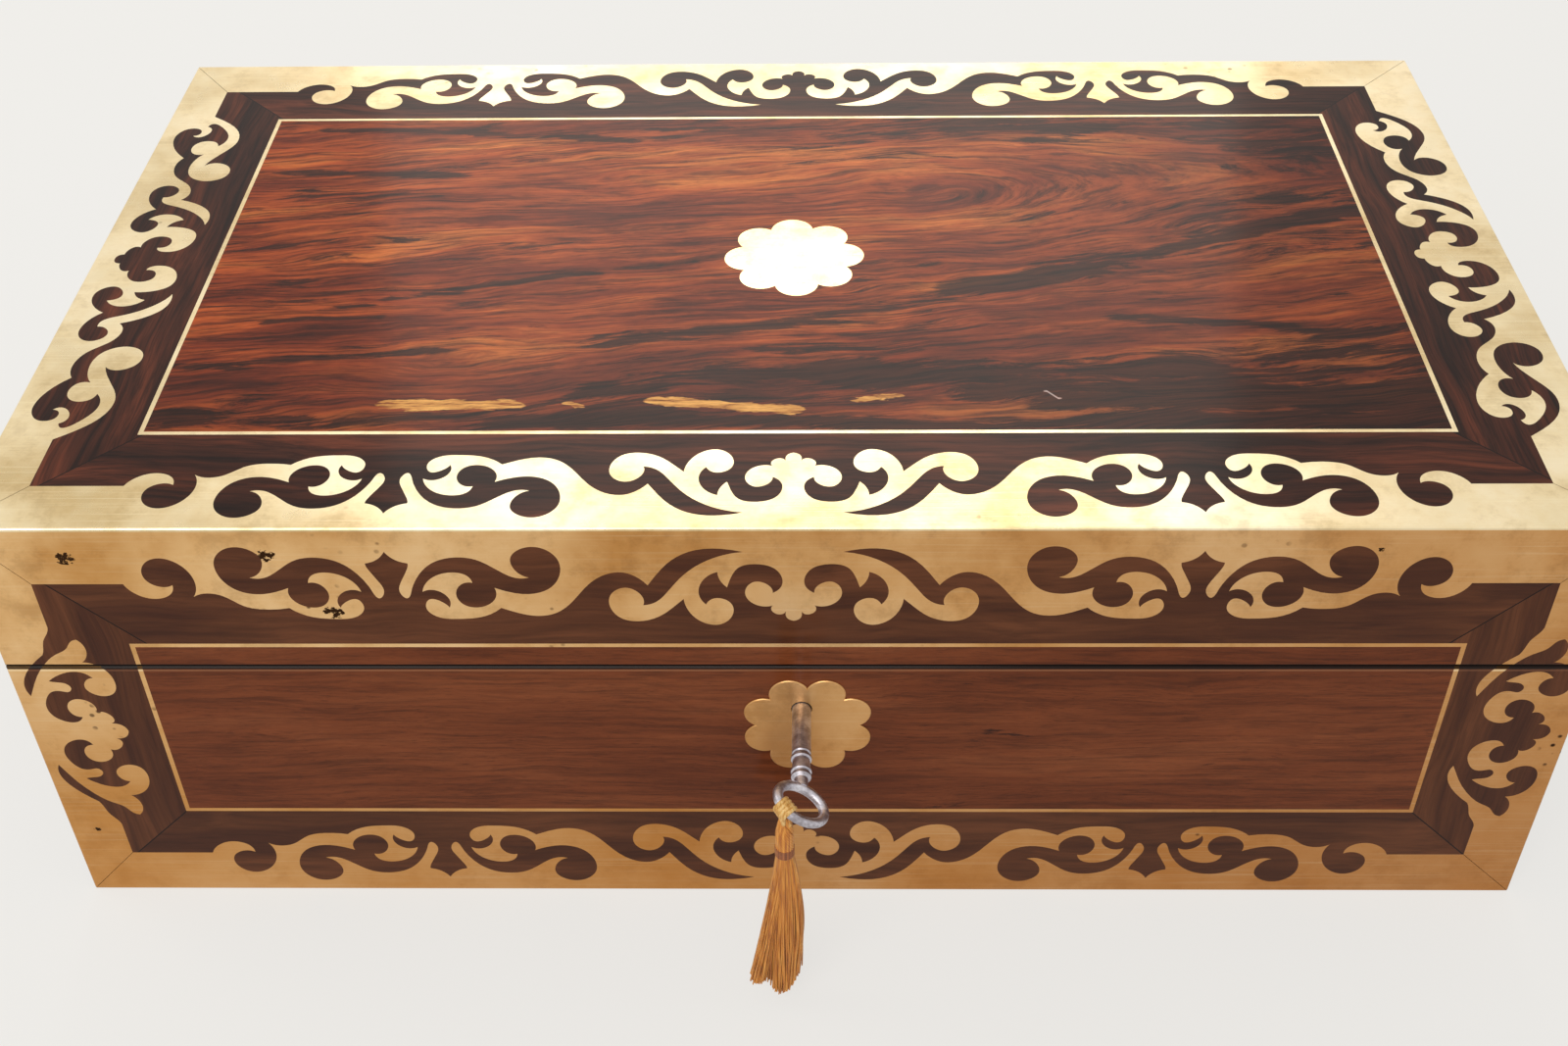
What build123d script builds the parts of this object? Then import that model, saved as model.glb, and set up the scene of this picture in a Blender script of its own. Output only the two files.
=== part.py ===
from build123d import *
from math import atan2, cos, degrees, radians, sin
import os

os.makedirs("parts", exist_ok=True)

# Outer box, millimetres. Origin at the middle of the underside, lock side towards -Y.
WIDTH = 460.0
DEPTH = 270.0
HEIGHT = 156.0
HALF_X = WIDTH / 2
HALF_Y = DEPTH / 2

# Veneer, brass and baize are all laid at this thickness on the boards.
LAYER = 1.0
FRONT_WALL = 13.0
BACK_WALL = 12.0
SIDE_WALL = 10.0
TOP_BOARD = 9.0
BOTTOM_BOARD = 8.0
WORN_EDGE = 0.35
CORE_X = HALF_X - LAYER
CORE_Y = HALF_Y - LAYER
INNER_X = CORE_X - SIDE_WALL
INNER_FRONT = -CORE_Y + FRONT_WALL
INNER_BACK = CORE_Y - BACK_WALL
FLOOR_Z = LAYER + BOTTOM_BOARD
LID_CEILING = HEIGHT - LAYER - TOP_BOARD

# The cut between base and lid slopes from the front down to the hinge axis at the back.
LID_FRONT = 53.0
FRONT_LINE_Z = HEIGHT - LID_FRONT
HINGE_Y = HALF_Y + 1.0
HINGE_Z = HEIGHT / 2
SLOPE = degrees(atan2(FRONT_LINE_Z - HINGE_Z, HINGE_Y + HALF_Y))
HALF_GAP = 0.2


def box(x0, x1, y0, y1, z0, z1):
    return Pos((x0 + x1) / 2, (y0 + y1) / 2, (z0 + z1) / 2) * Box(x1 - x0, y1 - y0, z1 - z0)


# On the slope, v runs forward from the hinge axis and w stands square to the writing surface.
def on_slope(shape):
    return Location((0, HINGE_Y, HINGE_Z), (-SLOPE, 0, 0)) * shape


def slope_box(x0, x1, v0, v1, w0, w1):
    return on_slope(box(x0, x1, -v1, -v0, w0, w1))


def slope_rod(x0, x1, v, w, radius):
    return on_slope(Pos((x0 + x1) / 2, -v, w) * Rot(0, 90, 0) * Cylinder(radius, x1 - x0))


def slope_v(y, w=0.0):
    return (HINGE_Y - y + w * sin(radians(SLOPE))) / cos(radians(SLOPE))


def above(w):
    return slope_box(-WIDTH, WIDTH, -DEPTH, 2 * DEPTH, w, w + 2 * HEIGHT)


def below(w):
    return slope_box(-WIDTH, WIDTH, -DEPTH, 2 * DEPTH, w - 2 * HEIGHT, w)


def save(name, shape):
    export_step(shape, f"parts/{name}.step")


# Scroll outlines of the brass, read from the object. Each list is one smooth curve between two points.
LONG_OPENING = [
    [(-187.4, 18.4), (-184.1, 22.6), (-180.3, 24.0), (-175.3, 22.6), (-173.6, 18.8)],
    [(-173.6, 18.8), (-176.6, 19.5), (-180.5, 17.2), (-181.2, 14), (-178.7, 9.8), (-175, 8.7), (-170.5, 10.6),
     (-167.3, 16), (-168.6, 23.3)],
    [(-168.6, 23.3), (-165.3, 22), (-160.3, 23), (-155.3, 26.75), (-148.7, 28.2), (-142.4, 27.6)],
]
LONG_BULB = [
    [(-142.4, 27.6), (-136.2, 31.2), (-130, 31.9), (-123.7, 30.9), (-121.2, 27.4), (-122.6, 24.3),
     (-126, 25.3), (-127.8, 27.5)],
    [(-127.8, 27.5), (-127.7, 23.2), (-124.9, 20.9), (-121, 21.4)],
    [(-121, 21.4), (-123.3, 17), (-128.7, 14.2), (-133.7, 15), (-135.4, 18)],
    [(-135.4, 18), (-132.2, 18.6), (-130.3, 22.6), (-132.4, 26.6), (-136.6, 27.3), (-140.6, 24.8),
     (-141.3, 19.9)],
    [(-141.3, 19.9), (-145.3, 21.5), (-150.5, 22.3), (-156.5, 20.3), (-160.2, 14.25), (-159.8, 9),
     (-155.75, 5.1), (-151, 5), (-147, 8.6), (-147.6, 13), (-151.4, 16)],
    [(-151.4, 16), (-147.8, 16.2), (-142.8, 13.2), (-137.4, 9.4), (-131.5, 8.5), (-125.5, 10.3), (-120.8, 15),
     (-117.6, 22.2)],
    [(-117.6, 22.2), (-116, 23.8), (-114.8, 22.2), (-115.3, 18), (-118.3, 10.7)],
    [(-118.3, 10.7), (-115, 9.4), (-112.4, 6.4)],
]
BULB_AXIS = -112.4
LONG_CENTRE = [
    [(-82.4, 27.6), (-78.5, 29.3), (-73, 30.7), (-67.5, 29.8), (-62.5, 25.7), (-57.9, 19.6), (-52.5, 15.1),
     (-47, 14.2), (-43, 16.3), (-40.6, 19)],
    [(-40.6, 19), (-37.5, 14.25), (-33.3, 9.4), (-27.5, 6.1), (-20, 5.4), (-13.75, 6.6)],
    [(-13.75, 6.6), (-20, 8), (-26.5, 11.5), (-31.25, 16), (-35, 21.2), (-38.3, 25.1), (-42.3, 26.6)],
    [(-42.3, 26.6), (-42.5, 23), (-46.7, 19.9), (-50.8, 22), (-51.7, 27), (-48.5, 31.8), (-43.5, 32.8),
     (-37.9, 30.9), (-33.5, 27), (-30.8, 24.2)],
    [(-30.8, 24.2), (-29.2, 29.6), (-25.8, 33.2), (-21.5, 34.2), (-17.6, 31.2), (-17.7, 25.7), (-20.8, 23.9),
     (-24.6, 26.3)],
    [(-24.6, 26.3), (-26.5, 21), (-25.4, 17.5), (-21, 14)],
    [(-21, 14), (-20.6, 16.5), (-18.5, 19.8)],
    [(-18.5, 19.8), (-17.3, 16), (-15, 12.3), (-9.8, 11.1), (-5, 12.9), (-3, 17.5), (-5.8, 21.9)],
    [(-5.8, 21.9), (-7.4, 18.6), (-10.8, 17.7), (-13.4, 20.7), (-12.5, 24.8), (-9, 27), (-5.9, 26.7)],
    [(-5.9, 26.7), (-5.8, 29.3), (-3.8, 30.2), (-2.2, 29)],
    [(-2.2, 29), (-1.7, 31.8), (0, 32.7)],
]
TOP_END_HALF = [
    [(95.5, 16), (91.5, 21.3), (84, 27.5), (76, 28.6), (68, 24.8), (60, 21)],
    [(60, 21), (61.8, 25), (58.7, 30.2), (52.5, 30.2), (49.5, 24.5), (52.5, 18), (59, 16), (68, 18.8)],
    [(68, 18.8), (69, 14.5), (73, 13.4), (76.7, 15.5), (77.3, 19.5), (73.7, 22.5)],
    [(73.7, 22.5), (79, 24.7), (86, 22), (90, 16.5), (88, 15.3)],
    [(88, 15.3), (84, 17.3), (80.3, 14), (81.3, 11.6)],
    [(81.3, 11.6), (83.5, 14), (85.5, 13.5), (86.7, 9.5), (82, 5.5), (78.5, 5.3), (70, 8.5), (65.5, 12.3)],
    [(65.5, 12.3), (59.5, 10.7), (52.5, 13), (46.5, 19), (41, 20.7), (37, 18.7)],
    [(37, 18.7), (33.5, 26), (28, 30.8), (24.5, 31.5), (20.8, 31)],
    [(20.8, 31), (27, 27), (32.5, 18.5), (36, 12.5), (38.7, 12.2)],
    [(38.7, 12.2), (40.5, 15.8), (43, 16.5), (45.5, 15), (46.5, 12.5), (45.7, 9.5), (43, 7.5), (39, 7.2),
     (33, 9.8), (31, 11.7)],
    [(31, 11.7), (26, 6.8), (22.5, 5.8), (19, 6.5), (16.3, 11.5), (20.3, 15), (24.3, 11)],
    [(24.3, 11), (27.5, 15.5), (27, 19.5), (24, 23)],
    [(24, 23), (22.3, 20), (19.5, 18.5)],
    [(19.5, 18.5), (19.3, 23), (16, 29), (9, 29.3), (4.2, 23.5), (5.7, 19), (6.7, 18.8)],
    [(6.7, 18.8), (9, 22.5), (12, 22), (13.5, 19.5), (13.3, 16.5), (11.5, 14.3), (7, 13.2)],
    [(7, 13.2), (7.3, 11.5), (4.3, 9.2), (2.7, 9)],
    [(2.7, 9), (2.3, 7.5), (0, 6.5)],
]
FRONT_END_HALF = [
    [(43.1, 16.7), (40.8, 15.8), (38.1, 14.1), (34.2, 13), (32.2, 12.2)],
    [(32.2, 12.2), (27.5, 7.4), (18.1, 3.3), (15.1, 4.1)],
    [(15.1, 4.1), (17.5, 5.2), (23.1, 8), (28.6, 11.9), (32.5, 16.3), (34.7, 19.7), (37.5, 21.7),
     (38.4, 23.6)],
    [(38.4, 23.6), (36.4, 25), (33.1, 25.3), (29.2, 23)],
    [(29.2, 23), (26.4, 28.6), (21, 30.5), (16.4, 29.1), (15.1, 25.8), (18.6, 21.1), (21.4, 21.9),
     (22.7, 24.4)],
    [(22.7, 24.4), (25.3, 20.2), (24.7, 16.3), (21.4, 11.1)],
    [(21.4, 11.1), (20.9, 13.5), (20.3, 15.8), (18.4, 16.9), (16.9, 15.8), (17.2, 13.6), (16.9, 10.8),
     (14.4, 8.6), (10.3, 7.4), (6.4, 8.6), (3.9, 14.7), (6.1, 17.1)],
    [(6.1, 17.1), (8.6, 13.8), (11.7, 14.1), (13.6, 16.3), (13.3, 19.7), (8.1, 21.9)],
    [(8.1, 21.9), (7.6, 25), (4.7, 26.3), (3.3, 25)],
    [(3.3, 25), (2.2, 28.4), (0, 29.4)],
]


def mirrored(curves, centre):
    return [[(2 * centre - s, v) for s, v in reversed(curve)] for curve in reversed(curves)]


def moved(curves, place, stretch):
    return [[place(stretch * s, v) for s, v in curve] for curve in curves]


long_half = LONG_OPENING + LONG_BULB + mirrored(LONG_BULB, BULB_AXIS) + LONG_CENTRE
LONG_BAND = long_half + mirrored(long_half, 0)
TOP_END_BAND = TOP_END_HALF + mirrored(TOP_END_HALF, 0)
FRONT_END_BAND = FRONT_END_HALF + mirrored(FRONT_END_HALF, 0)


# The dark ground inside the brass is one closed outline: four bands joined by straight lines at the corners.
def ground(bands, bends):
    edges = []
    for index, band in enumerate(bands):
        for curve in band:
            edges.append(Line(*curve) if len(curve) == 2 else Spline(*curve))
        following = bands[(index + 1) % len(bands)]
        edges.append(Line(band[-1][-1], bends[index]))
        edges.append(Line(bends[index], following[0][0]))
    return make_face(Wire(edges))


# Contra-partie bands swap brass and rosewood, so their outline is turned about the middle of the band.
BACK_TURN = 39.0
TOP_RIGHT_TURN = 36.0
FRONT_RIGHT_TURN = 35.0
FRONT_END_AXIS = HEIGHT / 2 - 2.5
LID_BAND_DROP = 2.0

# Plain brass runs from each band to the edge of the box, and the band between is stretched to meet it.
LONG_RUN = 42.6
TOP_END_RUN = 39.5
FRONT_END_RUN = 34.9
LONG_STRETCH = (HALF_X - LONG_RUN) / -LONG_BAND[0][0][0]
TOP_END_STRETCH = (HALF_Y - TOP_END_RUN) / TOP_END_BAND[0][0][0]
FRONT_END_STRETCH = (HEIGHT / 2 - FRONT_END_RUN) / FRONT_END_BAND[0][0][0]

# Width of the plain brass at the inner corners: below, above, on the right and on the left.
BRASS_LOW = 18.4
TOP_BRASS_BACK = 20.6
TOP_BRASS_RIGHT = 20.0
TOP_BRASS_LEFT = 16.0
FRONT_BRASS_HIGH = 20.4
FRONT_BRASS_RIGHT = 18.3
FRONT_BRASS_LEFT = 16.7


# Inner corners of the brass, anticlockwise from the lower right.
def corners(right, left, low, high):
    return [(right, low), (right, high), (left, high), (left, low)]


TOP_CORNERS = corners(HALF_X - TOP_BRASS_RIGHT, TOP_BRASS_LEFT - HALF_X,
                      BRASS_LOW - HALF_Y, HALF_Y - TOP_BRASS_BACK)
FRONT_CORNERS = corners(HALF_X - FRONT_BRASS_RIGHT, FRONT_BRASS_LEFT - HALF_X,
                        BRASS_LOW, HEIGHT - FRONT_BRASS_HIGH)

top_ground = ground(
    [
        moved(LONG_BAND, lambda s, v: (s, v - HALF_Y), LONG_STRETCH),
        moved(TOP_END_BAND, lambda t, d: (HALF_X - TOP_RIGHT_TURN + d, -t), TOP_END_STRETCH),
        moved(LONG_BAND, lambda s, v: (-s, HALF_Y - BACK_TURN + v), LONG_STRETCH),
        moved(TOP_END_BAND, lambda t, d: (d - HALF_X, t), TOP_END_STRETCH),
    ],
    TOP_CORNERS,
)
front_ground = ground(
    [
        moved(LONG_BAND, lambda s, v: (s, v), LONG_STRETCH),
        moved(FRONT_END_BAND, lambda t, d: (HALF_X - FRONT_RIGHT_TURN + d, FRONT_END_AXIS - t),
              FRONT_END_STRETCH),
        moved(LONG_BAND, lambda s, v: (-s, HEIGHT - LID_BAND_DROP - v), LONG_STRETCH),
        moved(FRONT_END_BAND, lambda t, d: (d - HALF_X, FRONT_END_AXIS + t), FRONT_END_STRETCH),
    ],
    FRONT_CORNERS,
)


def rectangle(x0, x1, y0, y1):
    return Pos((x0 + x1) / 2, (y0 + y1) / 2) * Rectangle(x1 - x0, y1 - y0)


def octafoil(lobe_centre, lobe_radius, turn):
    plate = Circle(lobe_centre)
    for index in range(8):
        angle = radians(turn + 45 * index)
        plate += Pos(lobe_centre * cos(angle), lobe_centre * sin(angle)) * Circle(lobe_radius)
    return plate


# A flat sheet laid on the top, and one laid on the front.
def top_sheet(face):
    return Pos(0, 0, HEIGHT - LAYER) * extrude(face, LAYER, dir=(0, 0, 1))


def front_sheet(face, thickness=LAYER):
    return Pos(0, LAYER - HALF_Y, 0) * Rot(90, 0, 0) * extrude(face, thickness, dir=(0, 0, 1))


# Mitre joints in the brass are saw-thin gaps.
KERF = 0.16
MITRE_STEP_X = 10.0
MITRE_STEP_Y = 12.0


def kerf(points):
    cut = None
    for (x0, y0), (x1, y1) in zip(points, points[1:]):
        length = ((x1 - x0) ** 2 + (y1 - y0) ** 2) ** 0.5
        turn = degrees(atan2(y1 - y0, x1 - x0))
        piece = Pos((x0 + x1) / 2, (y0 + y1) / 2) * Rot(0, 0, turn) * Rectangle(length + KERF, KERF)
        cut = piece if cut is None else cut + piece
    return cut


worn_box = Pos(0, 0, HEIGHT / 2) * Box(WIDTH, DEPTH, HEIGHT)
worn_box = chamfer(worn_box.edges(), WORN_EDGE)

# Top of the lid: brass border, dark rosewood banding, brass stringing, figured panel and name plate.
TOP_STRING_X = HALF_X - 40.0
TOP_STRING_Y = HALF_Y - 41.6
STRING = 1.4
top_frame = rectangle(-TOP_STRING_X, TOP_STRING_X, -TOP_STRING_Y, TOP_STRING_Y)
top_field = rectangle(STRING - TOP_STRING_X, TOP_STRING_X - STRING,
                      STRING - TOP_STRING_Y, TOP_STRING_Y - STRING)
top_brass = rectangle(-HALF_X, HALF_X, -HALF_Y, HALF_Y) - top_ground
step_y = MITRE_STEP_Y - HALF_Y
top_brass -= kerf([(-HALF_X - 1, step_y), (MITRE_STEP_X - HALF_X, step_y), TOP_CORNERS[3]])
top_brass -= kerf([(HALF_X + 1, -HALF_Y - 1), TOP_CORNERS[0]])
top_brass -= kerf([(HALF_X + 1, HALF_Y + 1), TOP_CORNERS[1]])
top_brass -= kerf([(-HALF_X - 1, HALF_Y + 1), TOP_CORNERS[2]])
name_plate = Pos(-0.6, -0.2) * octafoil(15.8, 6.9, 3)
save("lid_top_brass_border", top_sheet(top_brass) & worn_box)
save("lid_top_banding", top_sheet(top_ground - top_frame))
save("lid_top_stringing", top_sheet(top_frame - top_field))
save("lid_top_panel", top_sheet(top_field - name_plate))
save("lid_top_plate", top_sheet(name_plate))

# Front layers, drawn as one and then parted along the slope with a worn arris each side of the joint.
FRONT_STRING_X = HALF_X - 38.6
FRONT_STRING_LOW = 38.8
FRONT_STRING_HIGH = HEIGHT - 43.7
front_frame = rectangle(-FRONT_STRING_X, FRONT_STRING_X, FRONT_STRING_LOW, FRONT_STRING_HIGH)
front_field = rectangle(STRING - FRONT_STRING_X, FRONT_STRING_X - STRING, FRONT_STRING_LOW + STRING,
                        FRONT_STRING_HIGH - STRING)
front_brass = rectangle(-HALF_X, HALF_X, 0, HEIGHT - LAYER) - front_ground
front_brass -= kerf([(-HALF_X - 1, -1), FRONT_CORNERS[3]])
front_brass -= kerf([(HALF_X + 1, -1), FRONT_CORNERS[0]])
front_brass -= kerf([(-HALF_X - 1, HEIGHT + 1), FRONT_CORNERS[2]])
front_brass -= kerf([(HALF_X + 1, HEIGHT + 1), FRONT_CORNERS[1]])

KEY_X = 2.0
KEY_DROP = 17.3
KEY_Z = FRONT_LINE_Z - KEY_DROP
ESCUTCHEON_X = KEY_X + 1.7
ESCUTCHEON_Z = KEY_Z - 7.2
ESCUTCHEON_PROUD = 0.5
SHANK_RADIUS = 2.8
KEYHOLE_RADIUS = SHANK_RADIUS + 0.3
BIT_REACH = 7.5
escutcheon_face = Pos(ESCUTCHEON_X, ESCUTCHEON_Z) * octafoil(13.9, 6.0, 22.5)
keyhole_face = Pos(KEY_X, KEY_Z) * Circle(KEYHOLE_RADIUS)
keyhole_face += rectangle(KEY_X - 1.5, KEY_X + 1.5, KEY_Z - BIT_REACH - 0.8, KEY_Z)
keyhole = Pos(0, -CORE_Y + 6, 0) * Rot(90, 0, 0) * extrude(keyhole_face, 12, dir=(0, 0, 1))

arris = on_slope(Pos(0, -slope_v(-HALF_Y), 0) * Rot(45, 0, 0) * Box(WIDTH + 10, 0.9, 0.9))
base_side = above(-HALF_GAP)
lid_side = below(HALF_GAP)
front_layers = {
    "brass_border": front_sheet(front_brass) & worn_box,
    "banding": front_sheet(front_ground - front_frame),
    "stringing": front_sheet(front_frame - front_field),
    "panel": front_sheet(front_field - escutcheon_face),
}
for name, sheet in front_layers.items():
    save(f"base_front_{name}", sheet - base_side - arris)
    save(f"lid_front_{name}", sheet - lid_side - arris)
escutcheon = front_sheet(escutcheon_face, LAYER + ESCUTCHEON_PROUD)
escutcheon = chamfer(escutcheon.faces().sort_by(Axis.Y)[0].edges(), 0.25)
save("escutcheon", escutcheon - keyhole)

# Carcase boards.
walls = {
    "front_wall": (-CORE_X, CORE_X, -CORE_Y, INNER_FRONT),
    "back_wall": (-CORE_X, CORE_X, INNER_BACK, CORE_Y),
    "left_wall": (-CORE_X, -INNER_X, INNER_FRONT, INNER_BACK),
    "right_wall": (INNER_X, CORE_X, INNER_FRONT, INNER_BACK),
}
base_boards = {name: box(*ends, FLOOR_Z, LID_CEILING) - base_side for name, ends in walls.items()}
lid_boards = {name: box(*ends, FLOOR_Z, LID_CEILING) - lid_side for name, ends in walls.items()}

# Plain rosewood veneer on the sides and back.
veneers = [
    box(-HALF_X, -CORE_X, -CORE_Y, CORE_Y, 0, HEIGHT - LAYER),
    box(CORE_X, HALF_X, -CORE_Y, CORE_Y, 0, HEIGHT - LAYER),
    box(-HALF_X, HALF_X, CORE_Y, HALF_Y, 0, HEIGHT - LAYER),
]
base_veneers = [(sheet & worn_box) - base_side for sheet in veneers]
lid_veneers = [(sheet & worn_box) - lid_side for sheet in veneers]

# A hinge leaf: a plate let into the wood, with its own share of the knuckles bored for the pin.
KNUCKLE_CLEAR = 0.3
BORE_CLEAR = 0.05
KNUCKLE_GAP = 0.2


def hinge_leaf(middle, hinge, own, far, low, high, wood_v, wood_w):
    length, count, radius, pin = hinge
    start = middle - length / 2
    pitch = length / count
    near_far = sorted((wood_v, far))
    leaf = slope_box(start, start + length, *near_far, low, high)
    leaf -= slope_rod(start - 1, start + length + 1, wood_v, wood_w, radius + KNUCKLE_CLEAR)
    reach = (radius + KNUCKLE_CLEAR + 0.6) * (1 if far > wood_v else -1)
    for index in own:
        x0 = start + index * pitch + KNUCKLE_GAP / 2
        x1 = start + (index + 1) * pitch - KNUCKLE_GAP / 2
        leaf += slope_rod(x0, x1, wood_v, wood_w, radius)
        leaf += slope_box(x0, x1, *sorted((wood_v, wood_v + reach)), low, high)
    return leaf - slope_rod(start - 1, start + length + 1, wood_v, wood_w, pin + BORE_CLEAR)


# Countersunk screw square to the slope. side is -1 when it is driven down and 1 when driven up.
def screw(x, v, w, head, length, side):
    shank = head * 0.45
    cone = Cone(shank, head, head - shank)
    cone = Pos(0, 0, -(head - shank) / 2) * cone
    body = cone + Pos(0, 0, -length / 2) * Cylinder(shank, length)
    if side > 0:
        body = Rot(180, 0, 0) * body
    return on_slope(Pos(x, -v, w) * body)


def slot(x, v, w, head):
    return on_slope(Pos(x, -v, w) * Rot(0, 0, 35) * Box(head * 2.2, head * 0.25, head * 0.36))


# Two butt hinges join the lid to the back of the base: length, knuckles, knuckle radius, pin radius.
MAIN_HINGE = (50.0, 5, 2.6, 1.1)
MAIN_HINGE_INSET = 80.0
MAIN_HINGE_X = HALF_X - MAIN_HINGE_INSET
MAIN_LEAF = 1.6
MAIN_LEAF_V = 11.0
lower_leaves = []
upper_leaves = []
main_pins = []
base_screws = []
lid_screws = []
for x in (-MAIN_HINGE_X, MAIN_HINGE_X):
    lower = hinge_leaf(x, MAIN_HINGE, (0, 2, 4), MAIN_LEAF_V, -HALF_GAP - MAIN_LEAF, -HALF_GAP, 0, 0)
    upper = hinge_leaf(x, MAIN_HINGE, (1, 3), MAIN_LEAF_V, HALF_GAP, HALF_GAP + MAIN_LEAF, 0, 0)
    x0 = x - MAIN_HINGE[0] / 2
    x1 = x + MAIN_HINGE[0] / 2
    barrel = slope_rod(x0 - 0.4, x1 + 0.4, 0, 0, MAIN_HINGE[2] + KNUCKLE_CLEAR)
    low_recess = slope_box(x0, x1, 0, MAIN_LEAF_V, -HALF_GAP - MAIN_LEAF, 1)
    high_recess = slope_box(x0, x1, 0, MAIN_LEAF_V, -1, HALF_GAP + MAIN_LEAF)
    base_boards["back_wall"] -= barrel + low_recess
    lid_boards["back_wall"] -= barrel + high_recess
    base_veneers[2] -= barrel + low_recess
    lid_veneers[2] -= barrel + high_recess
    for offset in (-18.0, 0.0, 18.0):
        low_screw = screw(x + offset, 7.4, -HALF_GAP, 2.3, 9.0, -1)
        high_screw = screw(x + offset, 7.4, HALF_GAP, 2.3, 9.0, 1)
        lower -= low_screw
        upper -= high_screw
        base_boards["back_wall"] -= low_screw
        lid_boards["back_wall"] -= high_screw
        base_screws.append(low_screw - slot(x + offset, 7.4, -HALF_GAP, 2.3))
        lid_screws.append(high_screw - slot(x + offset, 7.4, HALF_GAP, 2.3))
    lower_leaves.append(lower)
    upper_leaves.append(upper)
    main_pins.append(slope_rod(x0 + 0.1, x1 - 0.1, 0, 0, MAIN_HINGE[3]))
save("base_hinge_leaves", Compound(children=lower_leaves + main_pins))
save("lid_hinge_leaves", Compound(children=upper_leaves))

# Writing flaps: boards with a leather face, hinged to a rail along the back wall of each half.
FLAP_FACE = 1.8
FLAP_BOARD = 5.8
LEATHER = 0.8
FLAP_AXIS_V = 27.0
FLAP_BACK_V = FLAP_AXIS_V + 0.4
FLAP_X = INNER_X - 0.6
SMALL_HINGE = (24.0, 3, 1.5, 0.6)
SMALL_LEAF = 0.8
SMALL_REACH = 7.5
REST_CLEAR = 0.2
LEDGE = 5.2
LEDGE_WIDE = 6.0
ledge_low = FLAP_FACE + FLAP_BOARD + REST_CLEAR

# The pen section takes the front of the base, and its partition is rebated to carry the flap's front edge.
PEN_SECTION = 56.0
PARTITION = 8.0
PARTITION_FRONT = INNER_FRONT + PEN_SECTION
PARTITION_STEP = PARTITION_FRONT + PARTITION / 2
PARTITION_BACK = PARTITION_FRONT + PARTITION
BASE_FLAP_CLEAR = 0.3354
LID_FLAP_CLEAR = 0.9573
BASE_LEDGE_CLEAR = 0.6202
LID_LEDGE_CLEAR = 1.3108
BASE_FLAP_FRONT_V = slope_v(PARTITION_STEP, -FLAP_FACE - FLAP_BOARD) - BASE_FLAP_CLEAR
LID_FLAP_FRONT_V = slope_v(INNER_FRONT, FLAP_FACE) - LID_FLAP_CLEAR
BASE_LEDGE_FRONT_V = slope_v(PARTITION_BACK, -ledge_low - LEDGE) - BASE_LEDGE_CLEAR
LID_LEDGE_FRONT_V = slope_v(INNER_FRONT, ledge_low) - LID_LEDGE_CLEAR
LEDGE_BACK_V = FLAP_BACK_V + 0.2
BASE_RAIL = 12.7
LID_RAIL = 11.8
BASE_FLAP_HINGE_X = HALF_X - 120.0
LID_FLAP_HINGE_X = HALF_X - 90.0

base_rail = box(-INNER_X, INNER_X, INNER_BACK - BASE_RAIL, INNER_BACK, HINGE_Z - 18, HINGE_Z + 12)
base_rail -= above(-FLAP_FACE)
lid_rail = box(-INNER_X, INNER_X, INNER_BACK - LID_RAIL, INNER_BACK, HINGE_Z - 8, HINGE_Z + 20)
lid_rail -= below(FLAP_FACE)


def flap(front_v, side):
    face = side * FLAP_FACE
    board = slope_box(-FLAP_X, FLAP_X, FLAP_BACK_V, front_v, *sorted((face, face + side * FLAP_BOARD)))
    hide = slope_box(-FLAP_X + 12, FLAP_X - 12, FLAP_BACK_V + 14, front_v - 12,
                     *sorted((face, face + side * LEATHER)))
    return board - hide, hide


def flap_hinges(rail, board, positions, side):
    face = side * FLAP_FACE
    low, high = sorted((face, face + side * SMALL_LEAF))
    fixed = []
    moving = []
    pins = []
    rail_screws = []
    board_screws = []
    for x in positions:
        x0 = x - SMALL_HINGE[0] / 2
        x1 = x + SMALL_HINGE[0] / 2
        barrel = slope_rod(x0 - 0.3, x1 + 0.3, FLAP_AXIS_V, face, SMALL_HINGE[2] + KNUCKLE_CLEAR)
        back_v = FLAP_AXIS_V - SMALL_REACH
        ahead_v = FLAP_AXIS_V + SMALL_REACH
        still = hinge_leaf(x, SMALL_HINGE, (0, 2), back_v, low, high, FLAP_AXIS_V, face)
        swung = hinge_leaf(x, SMALL_HINGE, (1,), ahead_v, low, high, FLAP_AXIS_V, face)
        rail -= barrel + slope_box(x0, x1, back_v, FLAP_AXIS_V, low, high)
        board -= barrel + slope_box(x0, x1, FLAP_AXIS_V, ahead_v, low, high)
        for offset in (-7.0, 7.0):
            near = screw(x + offset, FLAP_AXIS_V - 5, face, 1.5, 4.2, side)
            far = screw(x + offset, FLAP_AXIS_V + 5, face, 1.5, 4.2, side)
            still -= near
            rail -= near
            swung -= far
            board -= far
            rail_screws.append(near - slot(x + offset, FLAP_AXIS_V - 5, face, 1.5))
            board_screws.append(far - slot(x + offset, FLAP_AXIS_V + 5, face, 1.5))
        fixed.append(still)
        moving.append(swung)
        pins.append(slope_rod(x0 + 0.1, x1 - 0.1, FLAP_AXIS_V, face, SMALL_HINGE[3]))
    return rail, board, fixed, moving, pins, rail_screws, board_screws


def tab(v0, v1, side):
    face = side * FLAP_FACE
    return slope_box(-7, 7, v0, v1, *sorted((face, face - side * 0.6)))


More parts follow.
